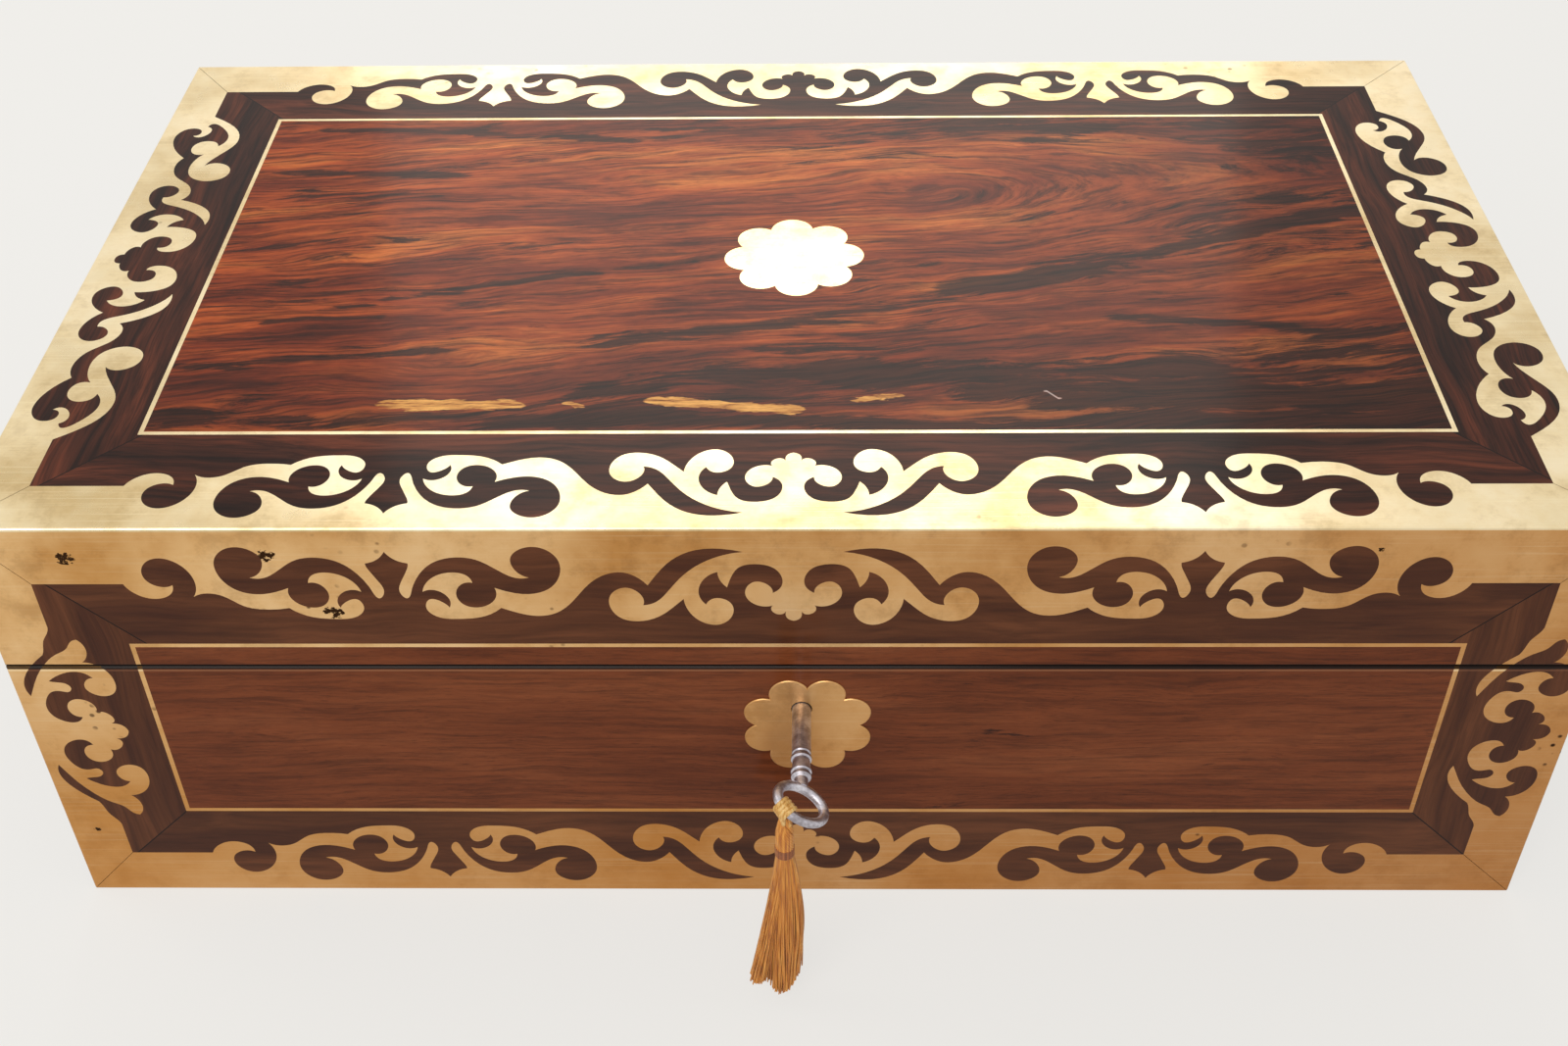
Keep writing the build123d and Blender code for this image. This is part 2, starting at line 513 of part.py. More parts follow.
base_board, base_leather = flap(BASE_FLAP_FRONT_V, -1)
lid_board, lid_leather = flap(LID_FLAP_FRONT_V, 1)
base_set = flap_hinges(base_rail, base_board, (-BASE_FLAP_HINGE_X, BASE_FLAP_HINGE_X), -1)
lid_set = flap_hinges(lid_rail, lid_board, (-LID_FLAP_HINGE_X, LID_FLAP_HINGE_X), 1)
base_rail, base_board, base_fixed, base_moving, base_pins, more_base, base_flap_screws = base_set
lid_rail, lid_board, lid_fixed, lid_moving, lid_pins, more_lid, lid_flap_screws = lid_set
save("base_flap_rail", base_rail)
save("lid_flap_rail", lid_rail)
save("base_flap_board", base_board)
save("lid_flap_board", lid_board)
base_tab = tab(BASE_FLAP_FRONT_V - 14, BASE_FLAP_FRONT_V + 5, -1)
lid_tab = tab(LID_FLAP_FRONT_V - 20, LID_FLAP_FRONT_V - 1, 1)
save("base_flap_leather", Compound(children=[base_leather, base_tab]))
save("lid_flap_leather", Compound(children=[lid_leather, lid_tab]))
save("base_flap_fixed_leaves", Compound(children=base_fixed + base_pins))
save("lid_flap_fixed_leaves", Compound(children=lid_fixed + lid_pins))
save("base_flap_moving_leaves", Compound(children=base_moving))
save("lid_flap_moving_leaves", Compound(children=lid_moving))
save("base_flap_screws", Compound(children=base_flap_screws))
save("lid_flap_screws", Compound(children=lid_flap_screws))
save("base_screws", Compound(children=base_screws + more_base))
save("lid_screws", Compound(children=lid_screws + more_lid))

base_ledges = []
lid_ledges = []
for x0, x1 in ((-INNER_X, LEDGE_WIDE - INNER_X), (INNER_X - LEDGE_WIDE, INNER_X)):
    base_ledges.append(slope_box(x0, x1, LEDGE_BACK_V, BASE_LEDGE_FRONT_V, -ledge_low - LEDGE, -ledge_low))
    lid_ledges.append(slope_box(x0, x1, LEDGE_BACK_V, LID_LEDGE_FRONT_V, ledge_low, ledge_low + LEDGE))
save("base_flap_ledges", Compound(children=base_ledges))
save("lid_flap_ledges", Compound(children=lid_ledges))

# Pen section behind the lock: partition, floor, tray with a round-bottomed trough, and two inkwells.
SECTION_DEPTH = 53.0
SECTION_FLOOR = FRONT_LINE_Z - SECTION_DEPTH
WELL_ROOM = 59.0
DIVIDER = 5.0
DIVIDER_X = INNER_X - WELL_ROOM - DIVIDER
partition = box(-INNER_X, INNER_X, PARTITION_FRONT, PARTITION_BACK, FLOOR_Z, LID_CEILING) - above(-FLAP_FACE)
partition -= box(-INNER_X, INNER_X, PARTITION_STEP, PARTITION_BACK, FLOOR_Z, LID_CEILING) - below(-ledge_low)
save("tray_partition", partition)
save("tray_floor", box(-INNER_X, INNER_X, INNER_FRONT, PARTITION_FRONT, SECTION_FLOOR - 6, SECTION_FLOOR))
dividers = []
for x in (-DIVIDER_X - DIVIDER, DIVIDER_X):
    divider = box(x, x + DIVIDER, INNER_FRONT, PARTITION_FRONT, SECTION_FLOOR, LID_CEILING)
    dividers.append(divider - above(-3.0))
save("inkwell_dividers", Compound(children=dividers))

TRAY_HIGH = 38.0
TRAY_TOP = SECTION_FLOOR + TRAY_HIGH
TROUGH_RADIUS = 24.0
TROUGH_INSET = 37.0
TROUGH_HALF = DIVIDER_X - TROUGH_INSET
tray_mid = (INNER_FRONT + PARTITION_FRONT) / 2
TRAY_CLEAR = 0.4
tray = box(TRAY_CLEAR - DIVIDER_X, DIVIDER_X - TRAY_CLEAR,
           INNER_FRONT + TRAY_CLEAR, PARTITION_FRONT - TRAY_CLEAR, SECTION_FLOOR, TRAY_TOP)
trough = Rot(0, 90, 0) * Cylinder(TROUGH_RADIUS, 2 * TROUGH_HALF)
trough += Pos(-TROUGH_HALF, 0, 0) * Sphere(TROUGH_RADIUS)
trough += Pos(TROUGH_HALF, 0, 0) * Sphere(TROUGH_RADIUS)
save("pen_tray", tray - Pos(0, tray_mid, TRAY_TOP + 6) * trough)

INKWELL_SIDE = 38.0
INKWELL_HIGH = 34.0
INKWELL_WALL = 4.5
INKWELL_TOP = SECTION_FLOOR + INKWELL_HIGH
NECK_RADIUS = 13.0
NECK_TOP = INKWELL_TOP + 4.0
CAP_HIGH = 8.0
inkwell = Box(INKWELL_SIDE, INKWELL_SIDE, INKWELL_HIGH)
inkwell = Pos(0, 0, SECTION_FLOOR + INKWELL_HIGH / 2) * inkwell
inkwell = fillet(inkwell.edges().filter_by(Axis.Z), 3)
inkwell = chamfer(inkwell.faces().sort_by(Axis.Z)[-1].edges(), 1.5)
inkwell += Pos(0, 0, (INKWELL_TOP + NECK_TOP) / 2) * Cylinder(NECK_RADIUS, NECK_TOP - INKWELL_TOP)
well = INKWELL_SIDE / 2 - INKWELL_WALL
inkwell -= box(-well, well, -well, well, SECTION_FLOOR + 5, INKWELL_TOP - 4)
inkwell -= Pos(0, 0, NECK_TOP) * Cylinder(10, 24)
cap = Pos(0, 0, NECK_TOP - 1.8 + CAP_HIGH / 2) * Cylinder(NECK_RADIUS + 2.2, CAP_HIGH)
cap = fillet(cap.faces().sort_by(Axis.Z)[-1].edges(), 2.5)
cap -= Pos(0, 0, NECK_TOP - 2) * Cylinder(NECK_RADIUS + 0.1, 4.0)
for side, x in (("left", -1), ("right", 1)):
    place = Pos(x * (DIVIDER_X + DIVIDER + INNER_X) / 2, tray_mid, 0)
    save(f"inkwell_{side}", place * inkwell)
    save(f"inkwell_cap_{side}", place * cap)

# Lock let into the front wall from inside: hollow case, drill pin, bolt plate and the hooks on the lid.
CASE_HALF = 25.0
CASE_LOW = KEY_Z - 23.7
CASE_DEEP = 8.8
CASE_FRONT = INNER_FRONT - CASE_DEEP
LOCK_TOP = FRONT_LINE_Z + 7.0
CASE_PLATE = 1.2
HOOK_X = 15.0
HOOK_HALF = 1.25
HOOK_THICK = 2.8
HOOK_FRONT = CASE_FRONT + CASE_PLATE + 0.4
HOOK_BACK = HOOK_FRONT + HOOK_THICK
HOOK_LOW = FRONT_LINE_Z - 11.0
BOLT_PLATE_FRONT = HOOK_BACK + 1.0
DRILL_TIP = INNER_FRONT - 10.0
case_back = INNER_FRONT
case_block = box(KEY_X - CASE_HALF, KEY_X + CASE_HALF, CASE_FRONT, case_back, CASE_LOW, LOCK_TOP) - base_side
CASE_SIDE = 1.5
cavity = box(KEY_X - CASE_HALF + CASE_SIDE, KEY_X + CASE_HALF - CASE_SIDE, CASE_FRONT + CASE_PLATE,
             case_back - CASE_PLATE, CASE_LOW + CASE_SIDE, LOCK_TOP) - above(-HALF_GAP - 1.4)
lock_case = case_block - cavity - keyhole
hooks = None
for x in (KEY_X - HOOK_X, KEY_X + HOOK_X):
    lock_case -= box(x - HOOK_HALF - 0.5, x + HOOK_HALF + 0.5, HOOK_FRONT - 0.3, HOOK_BACK + 1.2,
                     HOOK_LOW + 4, LOCK_TOP)
    hook = box(x - HOOK_HALF, x + HOOK_HALF, HOOK_FRONT, HOOK_BACK, HOOK_LOW, FRONT_LINE_Z + 1.2)
    hook -= box(x - 3, x + 3, HOOK_BACK - 1.9, HOOK_BACK + 1, HOOK_LOW + 1.9, HOOK_LOW + 5.3)
    hooks = hook if hooks is None else hooks + hook
drill_pin = Pos(KEY_X, (case_back - CASE_PLATE + DRILL_TIP) / 2, KEY_Z) * Rot(90, 0, 0)
drill_pin = drill_pin * Cylinder(1.1, case_back - CASE_PLATE - DRILL_TIP)
save("lock_case", lock_case + drill_pin)

hook_plate = box(KEY_X - 24, KEY_X + 24, CASE_FRONT + 0.4, case_back - 1.4, HOOK_LOW + 3, LOCK_TOP)
hook_plate = hook_plate - lid_side - above(HALF_GAP + 1.5)
save("lid_hook_plate", hook_plate + hooks)
lid_boards["front_wall"] -= hook_plate + hooks
case_recess = box(KEY_X - CASE_HALF, KEY_X + CASE_HALF, CASE_FRONT, case_back, CASE_LOW, LOCK_TOP)
base_boards["front_wall"] -= case_recess
base_boards["front_wall"] -= keyhole

BOLT_LOW = HOOK_LOW - 2.4
BOLT_HIGH = 7.0
bolt = box(KEY_X - 22, KEY_X + 18, BOLT_PLATE_FRONT, BOLT_PLATE_FRONT + 1.8, BOLT_LOW, BOLT_LOW + BOLT_HIGH)
bolt -= Pos(KEY_X, BOLT_PLATE_FRONT, BOLT_LOW) * Rot(90, 0, 0) * Cylinder(3, 10)
for x in (KEY_X - HOOK_X, KEY_X + HOOK_X):
    tip = x - HOOK_HALF - 0.5
    bolt += box(tip - 4.4, tip, HOOK_BACK - 1.6, BOLT_PLATE_FRONT, HOOK_LOW + 2.4, HOOK_LOW + 4.8)
save("lock_bolt", bolt)

# Key, drawn along Y with its bit towards +X, then turned to the angle it is left at.
KEY_TURN = 33.0
BOW_OUT = 37.0
BOW_Y = -HALF_Y - BOW_OUT
BOW_LONG = 7.7
BOW_SHORT = 5.9
BOW_WIRE = 1.45
KEY_TIP = INNER_FRONT - 3.9
PIPE_DEEP = 8.1

# Radius of the shank and its collars against the distance out from the face of the box.
COLLARS = [
    (SHANK_RADIUS, 18.4), (2.5, 18.8), (2.5, 19.3), (3.0, 19.7), (3.0, 20.5), (2.5, 20.9), (2.7, 24.2),
    (3.0, 24.6), (3.0, 25.3), (2.5, 25.7), (2.5, 26.1), (2.9, 26.5), (2.9, 27.2), (2.0, 28.0), (1.8, 31.0),
    (0, 31.0),
]
profile = [(0, KEY_TIP), (SHANK_RADIUS, KEY_TIP)] + [(radius, -HALF_Y - out) for radius, out in COLLARS]
key = revolve(make_face(Polyline(*profile, close=True)), Axis.Y)
key -= Pos(0, KEY_TIP - PIPE_DEEP / 2, 0) * Rot(90, 0, 0) * Cylinder(1.5, PIPE_DEEP)
bit = box(2.0, BIT_REACH, KEY_TIP - 3.1, KEY_TIP - 0.3, -1.1, 1.1)
bit -= box(4.6, BIT_REACH + 1, KEY_TIP - 2.1, KEY_TIP - 1.4, -2, 2)
key += bit
bow_path = (Pos(0, BOW_Y) * Ellipse(BOW_LONG, BOW_SHORT)).wire()
bow_section = Plane((BOW_LONG, BOW_Y, 0), x_dir=(1, 0, 0), z_dir=(0, 1, 0)) * Circle(BOW_WIRE)
key += sweep(bow_section, path=bow_path)
save("key", Pos(KEY_X, 0, KEY_Z) * Rot(0, KEY_TURN, 0) * key)

# Silk tassel hung from the near left of the bow: bound head, binding and skirt as plain closed solids.
hang = 0.7
TASSEL_X = KEY_X - hang * BOW_LONG * cos(radians(KEY_TURN))
TASSEL_Y = BOW_Y - hang * BOW_SHORT
TASSEL_Z = KEY_Z + hang * BOW_LONG * sin(radians(KEY_TURN))
BINDING_TOP = KEY_Z - 12.7
BINDING = 4.0
BINDING_LOW = BINDING_TOP - BINDING
SKIRT_LOW = 4.8
skirt_middle = (BINDING_LOW + SKIRT_LOW) / 2 + 3.1


def ring_at(z, drift, across, along):
    return Pos(TASSEL_X + drift, TASSEL_Y, z) * Ellipse(across, along)


head_rings = [ring_at(TASSEL_Z - 2.7, 0, 1.0, 0.9), ring_at(BINDING_TOP + 5, -0.1, 2.4, 2.2)]
save("tassel_head", loft(head_rings + [ring_at(BINDING_TOP, -0.2, 2.6, 2.5)]))
save("tassel_binding", loft([ring_at(BINDING_TOP, -0.2, 2.9, 2.8), ring_at(BINDING_LOW, -0.3, 2.9, 2.8)]))
skirt_rings = [ring_at(BINDING_LOW, -0.3, 2.6, 2.4), ring_at(skirt_middle, -1.4, 4.6, 3.4)]
save("tassel_skirt", loft(skirt_rings + [ring_at(SKIRT_LOW, -3.1, 7.4, 4.4)]))

# Boards and veneers go out last, with every recess cut.
save("base_bottom_board", box(-CORE_X, CORE_X, -CORE_Y, CORE_Y, LAYER, FLOOR_Z))
save("base_baize", box(-CORE_X, CORE_X, -CORE_Y, CORE_Y, 0, LAYER))
save("lid_top_board", box(-CORE_X, CORE_X, -CORE_Y, CORE_Y, LID_CEILING, HEIGHT - LAYER))
for name, board in base_boards.items():
    save(f"base_{name}", board)
for name, board in lid_boards.items():
    save(f"lid_{name}", board)
save("base_side_veneers", Compound(children=base_veneers))
save("lid_side_veneers", Compound(children=lid_veneers))
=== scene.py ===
import math
import random

import bpy
from mathutils import Matrix, Vector


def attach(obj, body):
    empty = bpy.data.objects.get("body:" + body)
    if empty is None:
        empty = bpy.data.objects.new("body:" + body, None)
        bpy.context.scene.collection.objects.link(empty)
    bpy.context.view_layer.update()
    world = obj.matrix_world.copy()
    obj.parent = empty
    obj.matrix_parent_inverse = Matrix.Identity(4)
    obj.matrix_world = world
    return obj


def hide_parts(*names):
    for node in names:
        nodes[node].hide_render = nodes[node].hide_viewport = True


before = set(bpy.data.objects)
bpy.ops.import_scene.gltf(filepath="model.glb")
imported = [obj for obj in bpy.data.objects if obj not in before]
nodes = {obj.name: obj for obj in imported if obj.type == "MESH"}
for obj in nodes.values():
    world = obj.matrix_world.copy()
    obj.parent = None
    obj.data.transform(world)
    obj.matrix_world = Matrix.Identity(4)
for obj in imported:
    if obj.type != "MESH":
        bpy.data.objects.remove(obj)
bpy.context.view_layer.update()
random.seed(18)

# Real sizes of the box, metres.
HALF_X = 0.230
HALF_Y = 0.135
HALF_HIGH = 0.078


# A colour written as #rrggbb, as the linear values that Blender reads.
def tone(text):
    channels = [int(text[i:i + 2], 16) / 255 for i in (1, 3, 5)]
    return [c / 12.92 if c <= 0.04045 else ((c + 0.055) / 1.055) ** 2.4 for c in channels] + [1.0]


def feed(tree, socket, value):
    if isinstance(value, bpy.types.NodeSocket):
        tree.links.new(value, socket)
    else:
        socket.default_value = value


# A node: settings by attribute name, or colour stops; links by socket name, or by number as i0, i1 and so on.
def add(tree, kind, settings=None, **links):
    made = tree.nodes.new(kind)
    for name, value in (settings or {}).items():
        if name == "stops":
            elements = made.color_ramp.elements
            while len(elements) < len(value):
                elements.new(0.5)
            for element, (place, colour) in zip(elements, value):
                element.position = place
                element.color = colour
        else:
            setattr(made, name, value)
    for name, value in links.items():
        by_number = name[0] == "i" and name[1:].isdigit()
        feed(tree, made.inputs[int(name[1:]) if by_number else name], value)
    return made


# A new material with its node tree, its Principled shader and the object's own coordinates.
def start(name):
    material = bpy.data.materials.new(name)
    material.use_nodes = True
    tree = material.node_tree
    tree.nodes.clear()
    output = tree.nodes.new("ShaderNodeOutputMaterial")
    shader = tree.nodes.new("ShaderNodeBsdfPrincipled")
    tree.links.new(shader.outputs[0], output.inputs[0])
    place = tree.nodes.new("ShaderNodeTexCoord").outputs["Object"]
    return material, tree, shader, place


def maths(tree, operation, a, b=0.0, c=0.0):
    return add(tree, "ShaderNodeMath", {"operation": operation}, i0=a, i1=b, i2=c).outputs[0]


def scaled(tree, place, scale, turn=(0, 0, 0)):
    return add(tree, "ShaderNodeMapping", Vector=place, Scale=scale, Rotation=turn).outputs[0]


def noise(tree, place, scale, detail=2.0, roughness=0.5, distortion=0.0):
    made = add(tree, "ShaderNodeTexNoise", Vector=place, Scale=scale, Detail=detail, Roughness=roughness,
               Distortion=distortion)
    return made.outputs[0], made.outputs[1]


# A colour ramp; each stop has its place and a #rrggbb colour or a grey value.
def ramp(tree, factor, *stops):
    made = [(place, tone(level) if isinstance(level, str) else (level, level, level, 1))
            for place, level in stops]
    return add(tree, "ShaderNodeValToRGB", {"stops": made}, Fac=factor).outputs[0]


def blend(tree, factor, a, b, how="MIX"):
    made = add(tree, "ShaderNodeMix", {"data_type": "RGBA", "blend_type": how})
    for index, value in ((0, factor), (6, a), (7, b)):
        feed(tree, made.inputs[index], value)
    return made.outputs[2]


def split(tree, place):
    return add(tree, "ShaderNodeSeparateXYZ", Vector=place).outputs


def joined(tree, x, y, z):
    return add(tree, "ShaderNodeCombineXYZ", i0=x, i1=y, i2=z).outputs[0]


def chosen(tree, second, a, b):
    return add(tree, "ShaderNodeMix", {"data_type": "VECTOR"}, i0=second, i4=a, i5=b).outputs[1]


def spread_over(tree, value, low, high, at_low, at_high):
    return add(tree, "ShaderNodeMapRange", i0=value, i1=low, i2=high, i3=at_low, i4=at_high).outputs[0]


# The highest of several values.
def highest(tree, values):
    top = values[0]
    for value in values[1:]:
        top = maths(tree, "MAXIMUM", top, value)
    return top


# On the front, painted shade darkens the joint between lid and base, with a painted highlight along the arris
# just under it.
JOINT_Z = 0.103
FRONT_SKIN_Y = -0.1335
SHADE_BELOW, SHADE_HALF = 0.0001, 0.0010
HIGHLIGHT_BELOW, HIGHLIGHT_HALF = 0.0016, 0.00035


def painted_joint_shade(tree, place, colour, wear_and_highlight):
    apart = split(tree, place)
    front = maths(tree, "LESS_THAN", apart[1], FRONT_SKIN_Y)
    gap = maths(tree, "ABSOLUTE", maths(tree, "SUBTRACT", apart[2], JOINT_Z - SHADE_BELOW))
    gap_shade = maths(tree, "MULTIPLY", maths(tree, "LESS_THAN", gap, SHADE_HALF), front)
    under = maths(tree, "ABSOLUTE", maths(tree, "SUBTRACT", apart[2], JOINT_Z - HIGHLIGHT_BELOW))
    arris_highlight = maths(tree, "MULTIPLY", maths(tree, "LESS_THAN", under, HIGHLIGHT_HALF), front)
    # Painted highlight: a pale line just under the joint, in the colour given.
    colour = blend(tree, maths(tree, "MULTIPLY", arris_highlight, 0.55), colour, tone(wear_and_highlight))
    # Painted shade: near-black #140b08 in the joint gap.
    return blend(tree, maths(tree, "MULTIPLY", gap_shade, 0.94), colour, tone("#140b08"))


def bump(tree, shader, height, strength, distance):
    made = add(tree, "ShaderNodeBump", Height=height, Strength=strength, Distance=distance)
    tree.links.new(made.outputs[0], shader.inputs["Normal"])


def vector(tree, operation, a, b, **links):
    return add(tree, "ShaderNodeVectorMath", {"operation": operation}, i0=a, i1=b, **links).outputs[0]


# Coordinates pushed about by noise, so that straight grain wanders.
def sway(tree, place, scale, amount):
    cloud = noise(tree, scaled(tree, place, scale), 1.0, 3.0, 0.55)[1]
    cloud = vector(tree, "SUBTRACT", cloud, (0.5, 0.5, 0.5))
    cloud = vector(tree, "MULTIPLY", cloud, (amount, amount, amount))
    return vector(tree, "ADD", place, cloud)


# The finish that all polished rosewood has: a thin clear coat over wood that mirrors little by itself.
def polished(shader):
    shader.inputs["Specular IOR Level"].default_value = 0.06
    shader.inputs["Coat Weight"].default_value = 0.15
    shader.inputs["Coat Roughness"].default_value = 0.12


BACK_SKIN = 0.0012


# Rosewood veneer, French polished: grain in long streaks, near-black figure and pores filled by the polish.
# sides turns the grain along the ends of the box and leaves it along the back. rings, where given, bends the
# grain round a knot, and extra adds what only one panel shows.
def rosewood(name, ground, grain, swirl, black_level, sides=False, rings=None, extra=None):
    material, tree, shader, place = start(name)
    if sides:
        x, y, z = split(tree, place)
        on_back = maths(tree, "GREATER_THAN", y, HALF_Y - BACK_SKIN)
        place = chosen(tree, on_back, joined(tree, y, z, x), place)
    flow = sway(tree, place, (9, 22, 22), swirl)
    if rings:
        flow = rings(tree, flow)
    broad = noise(tree, scaled(tree, flow, (8, 50, 50)), 1.0, 6.0, 0.66)[0]
    fine = noise(tree, scaled(tree, flow, (20, 640, 640)), 1.0, 5.0, 0.72)[0]
    black = noise(tree, scaled(tree, flow, (20, 190, 190)), 1.0, 7.0, 0.74, 0.5)[0]
    frayed = sway(tree, flow, (40, 120, 120), 0.004)
    dash = noise(tree, scaled(tree, frayed, (46, 520, 520)), 1.0, 4.0, 0.7)[0]
    colour = ramp(tree, broad, *zip((0.32, 0.44, 0.55, 0.68), ground))
    streaks = ramp(tree, fine, (0.38, 0.30), (0.50, 0.95), (0.66, 1.25))
    colour = blend(tree, grain, colour, streaks, "MULTIPLY")
    dashes = ramp(tree, dash, (0.36, 0.38), (0.50, 1.0), (0.64, 1.2))
    colour = blend(tree, grain * 0.75, colour, dashes, "MULTIPLY")
    patch = noise(tree, scaled(tree, flow, (6, 18, 18)), 1.0, 2.0)[0]
    level = maths(tree, "MULTIPLY_ADD", patch, 0.55, maths(tree, "ADD", black, black_level - 0.28))
    if extra:
        colour, level = extra(tree, place, fine, colour, level)
    blacks = ramp(tree, fine, (0.42, "#180b07"), (0.62, "#3a1b10"))
    colour = blend(tree, ramp(tree, level, (0.565, 0.0), (0.635, 0.90)), colour, blacks)
    pores = noise(tree, scaled(tree, flow, (220, 3600, 3600)), 1.0, 1.0)[0]
    colour = blend(tree, 0.7, colour, ramp(tree, pores, (0.28, 0.55), (0.38, 1.0)), "MULTIPLY")
    # Except on the sides, the veneer gets painted shade in the front joint and a painted arris highlight,
    # #9a6a4a, under it.
    if not sides:
        colour = painted_joint_shade(tree, place, colour, "#9a6a4a")
    tree.links.new(colour, shader.inputs["Base Color"])
    smear = noise(tree, scaled(tree, place, (30, 22, 22)), 1.0, 3.0)[0]
    tree.links.new(maths(tree, "MULTIPLY_ADD", smear, 0.16, 0.26), shader.inputs["Roughness"])
    polished(shader)
    ripple = noise(tree, scaled(tree, place, (60, 60, 60)), 1.0, 2.0)[0]
    bump(tree, shader, maths(tree, "MULTIPLY_ADD", fine, 0.25, ripple), 0.10, 0.0004)
    return material


# On the lid the grain rises to the right and bends round a knot behind the plate, on the right.
KNOT_X, KNOT_Y = 0.052, 0.034
KNOT_LONG, KNOT_WIDE = 0.06, 0.026
GRAIN_SLOPE = 0.12


def lid_rings(tree, flow):
    x, y, _ = split(tree, flow)
    beyond = maths(tree, "MAXIMUM", maths(tree, "SUBTRACT", x, KNOT_X), 0.0)
    reach = maths(tree, "MULTIPLY", maths(tree, "TANH", maths(tree, "DIVIDE", beyond, KNOT_LONG)), KNOT_WIDE)
    rise = maths(tree, "SUBTRACT", maths(tree, "MULTIPLY_ADD", x, -GRAIN_SLOPE, y), KNOT_Y)
    ring = maths(tree, "ADD", maths(tree, "MULTIPLY", reach, reach), maths(tree, "MULTIPLY", rise, rise))
    return joined(tree, x, maths(tree, "SQRT", ring), maths(tree, "MULTIPLY", y, 0.22))


# How close a point lies to a line from x0, y0 to x1, y1 on the veneer: 1 on it and 0 a thickness away.
def near_line(tree, x, y, x0, y0, x1, y1, thick):
    along = spread_over(tree, x, x0, x1, y0, y1)
    off = maths(tree, "DIVIDE", maths(tree, "SUBTRACT", y, along), thick)
    past = maths(tree, "MAXIMUM", maths(tree, "SUBTRACT", x0, x), maths(tree, "SUBTRACT", x, x1))
    past = maths(tree, "DIVIDE", maths(tree, "MAXIMUM", past, 0.0), thick * 2.5)
    far = maths(tree, "ADD", maths(tree, "MULTIPLY", off, off), maths(tree, "MULTIPLY", past, past))
    return maths(tree, "MAXIMUM", maths(tree, "SUBTRACT", 1.0, far), 0.0)


# Lines on the lid's panel, metres: x and y where each starts and where it ends, and its thickness.
BLACK_LINES = (
    (-0.010, -0.040, 0.088, -0.009, 0.0065), (0.080, -0.010, 0.190, 0.028, 0.0050),
    (-0.190, -0.060, -0.060, -0.048, 0.0030), (-0.060, -0.048, 0.010, -0.038, 0.0040),
    (-0.142, -0.027, -0.098, -0.016, 0.0025), (-0.098, -0.017, -0.032, -0.002, 0.0022),
    (-0.165, -0.037, -0.130, -0.035, 0.0022), (0.020, -0.064, 0.110, -0.062, 0.0085),
    (0.060, -0.073, 0.190, -0.078, 0.0080), (-0.190, -0.086, 0.190, -0.090, 0.0045),
    (-0.080, -0.082, -0.060, -0.072, 0.0040), (-0.170, 0.085, -0.060, 0.078, 0.0028),
    (-0.190, 0.055, -0.120, 0.052, 0.0025), (0.100, -0.035, 0.175, -0.045, 0.0040),
)
SAPWOOD = ((-0.1170, -0.0795, -0.0860, -0.0795, 0.0026), (-0.0390, -0.0780, -0.0020, -0.0820, 0.0022),
           (0.0190, -0.0775, 0.0300, -0.0755, 0.0011), (-0.0655, -0.0790, -0.0640, -0.0800, 0.0011))
SCRATCH = (0.0745, -0.0735, 0.0775, -0.0770, 0.0005)


# Long black lines cross the lid, its right side and front are darker, and sapwood shows along the front.
def lid_details(tree, place, fine, colour, level):
    x, y, _ = split(tree, sway(tree, place, (26, 60, 60), 0.012))
    lines = highest(tree, [near_line(tree, x, y, *line) for line in BLACK_LINES])
    right = spread_over(tree, x, 0.03, 0.17, 0.0, 0.085)
    front = spread_over(tree, y, -0.035, -0.085, 0.0, 0.075)
    back = spread_over(tree, y, 0.07, 0.095, 0.0, 0.04)
    darker = maths(tree, "ADD", maths(tree, "ADD", right, front), back)
    level = maths(tree, "ADD", maths(tree, "MULTIPLY_ADD", lines, 0.16, level), darker)
    colour = blend(tree, maths(tree, "MULTIPLY", darker, 4.5), colour, tone("#44231a"))
    x, y, _ = split(tree, sway(tree, place, (120, 400, 400), 0.005))
    fleck = highest(tree, [near_line(tree, x, y, *line) for line in SAPWOOD])
    torn = noise(tree, scaled(tree, place, (60, 500, 500)), 1.0, 4.0, 0.7)[0]
    mask = maths(tree, "MULTIPLY", ramp(tree, fleck, (0.0, 0.0), (0.3, 1.0)),
                 ramp(tree, torn, (0.38, 0.0), (0.46, 1.0)))
    colour = blend(tree, mask, colour, ramp(tree, torn, (0.40, "#a8662c"), (0.62, "#f3b663")))
    level = maths(tree, "SUBTRACT", level, maths(tree, "MULTIPLY", mask, 0.5))
    x, y, _ = split(tree, place)
    scratch = near_line(tree, x, y, *SCRATCH)
    colour = blend(tree, maths(tree, "MULTIPLY", scratch, 0.7), colour, tone("#d9cfcc"))
    level = maths(tree, "SUBTRACT", level, maths(tree, "MULTIPLY", scratch, 0.5))
    return colour, level


lid_figure = rosewood(
    "figured_rosewood_french_polished", ("#45180b", "#7d3115", "#a84d21", "#cc7436"), 0.95, 0.026, -0.01,
    rings=lid_rings, extra=lid_details)
front_figure = rosewood(
    "plain_rosewood_french_polished", ("#5b2b13", "#683318", "#733b1e", "#7f4526"), 0.42, 0.012, -0.13)
veneer_figure = rosewood(
    "side_rosewood_french_polished", ("#46200f", "#5c2c17", "#70391e", "#84492a"), 0.7, 0.02, -0.06,
    sides=True)


GLUE_LINE_HALF = 0.00028


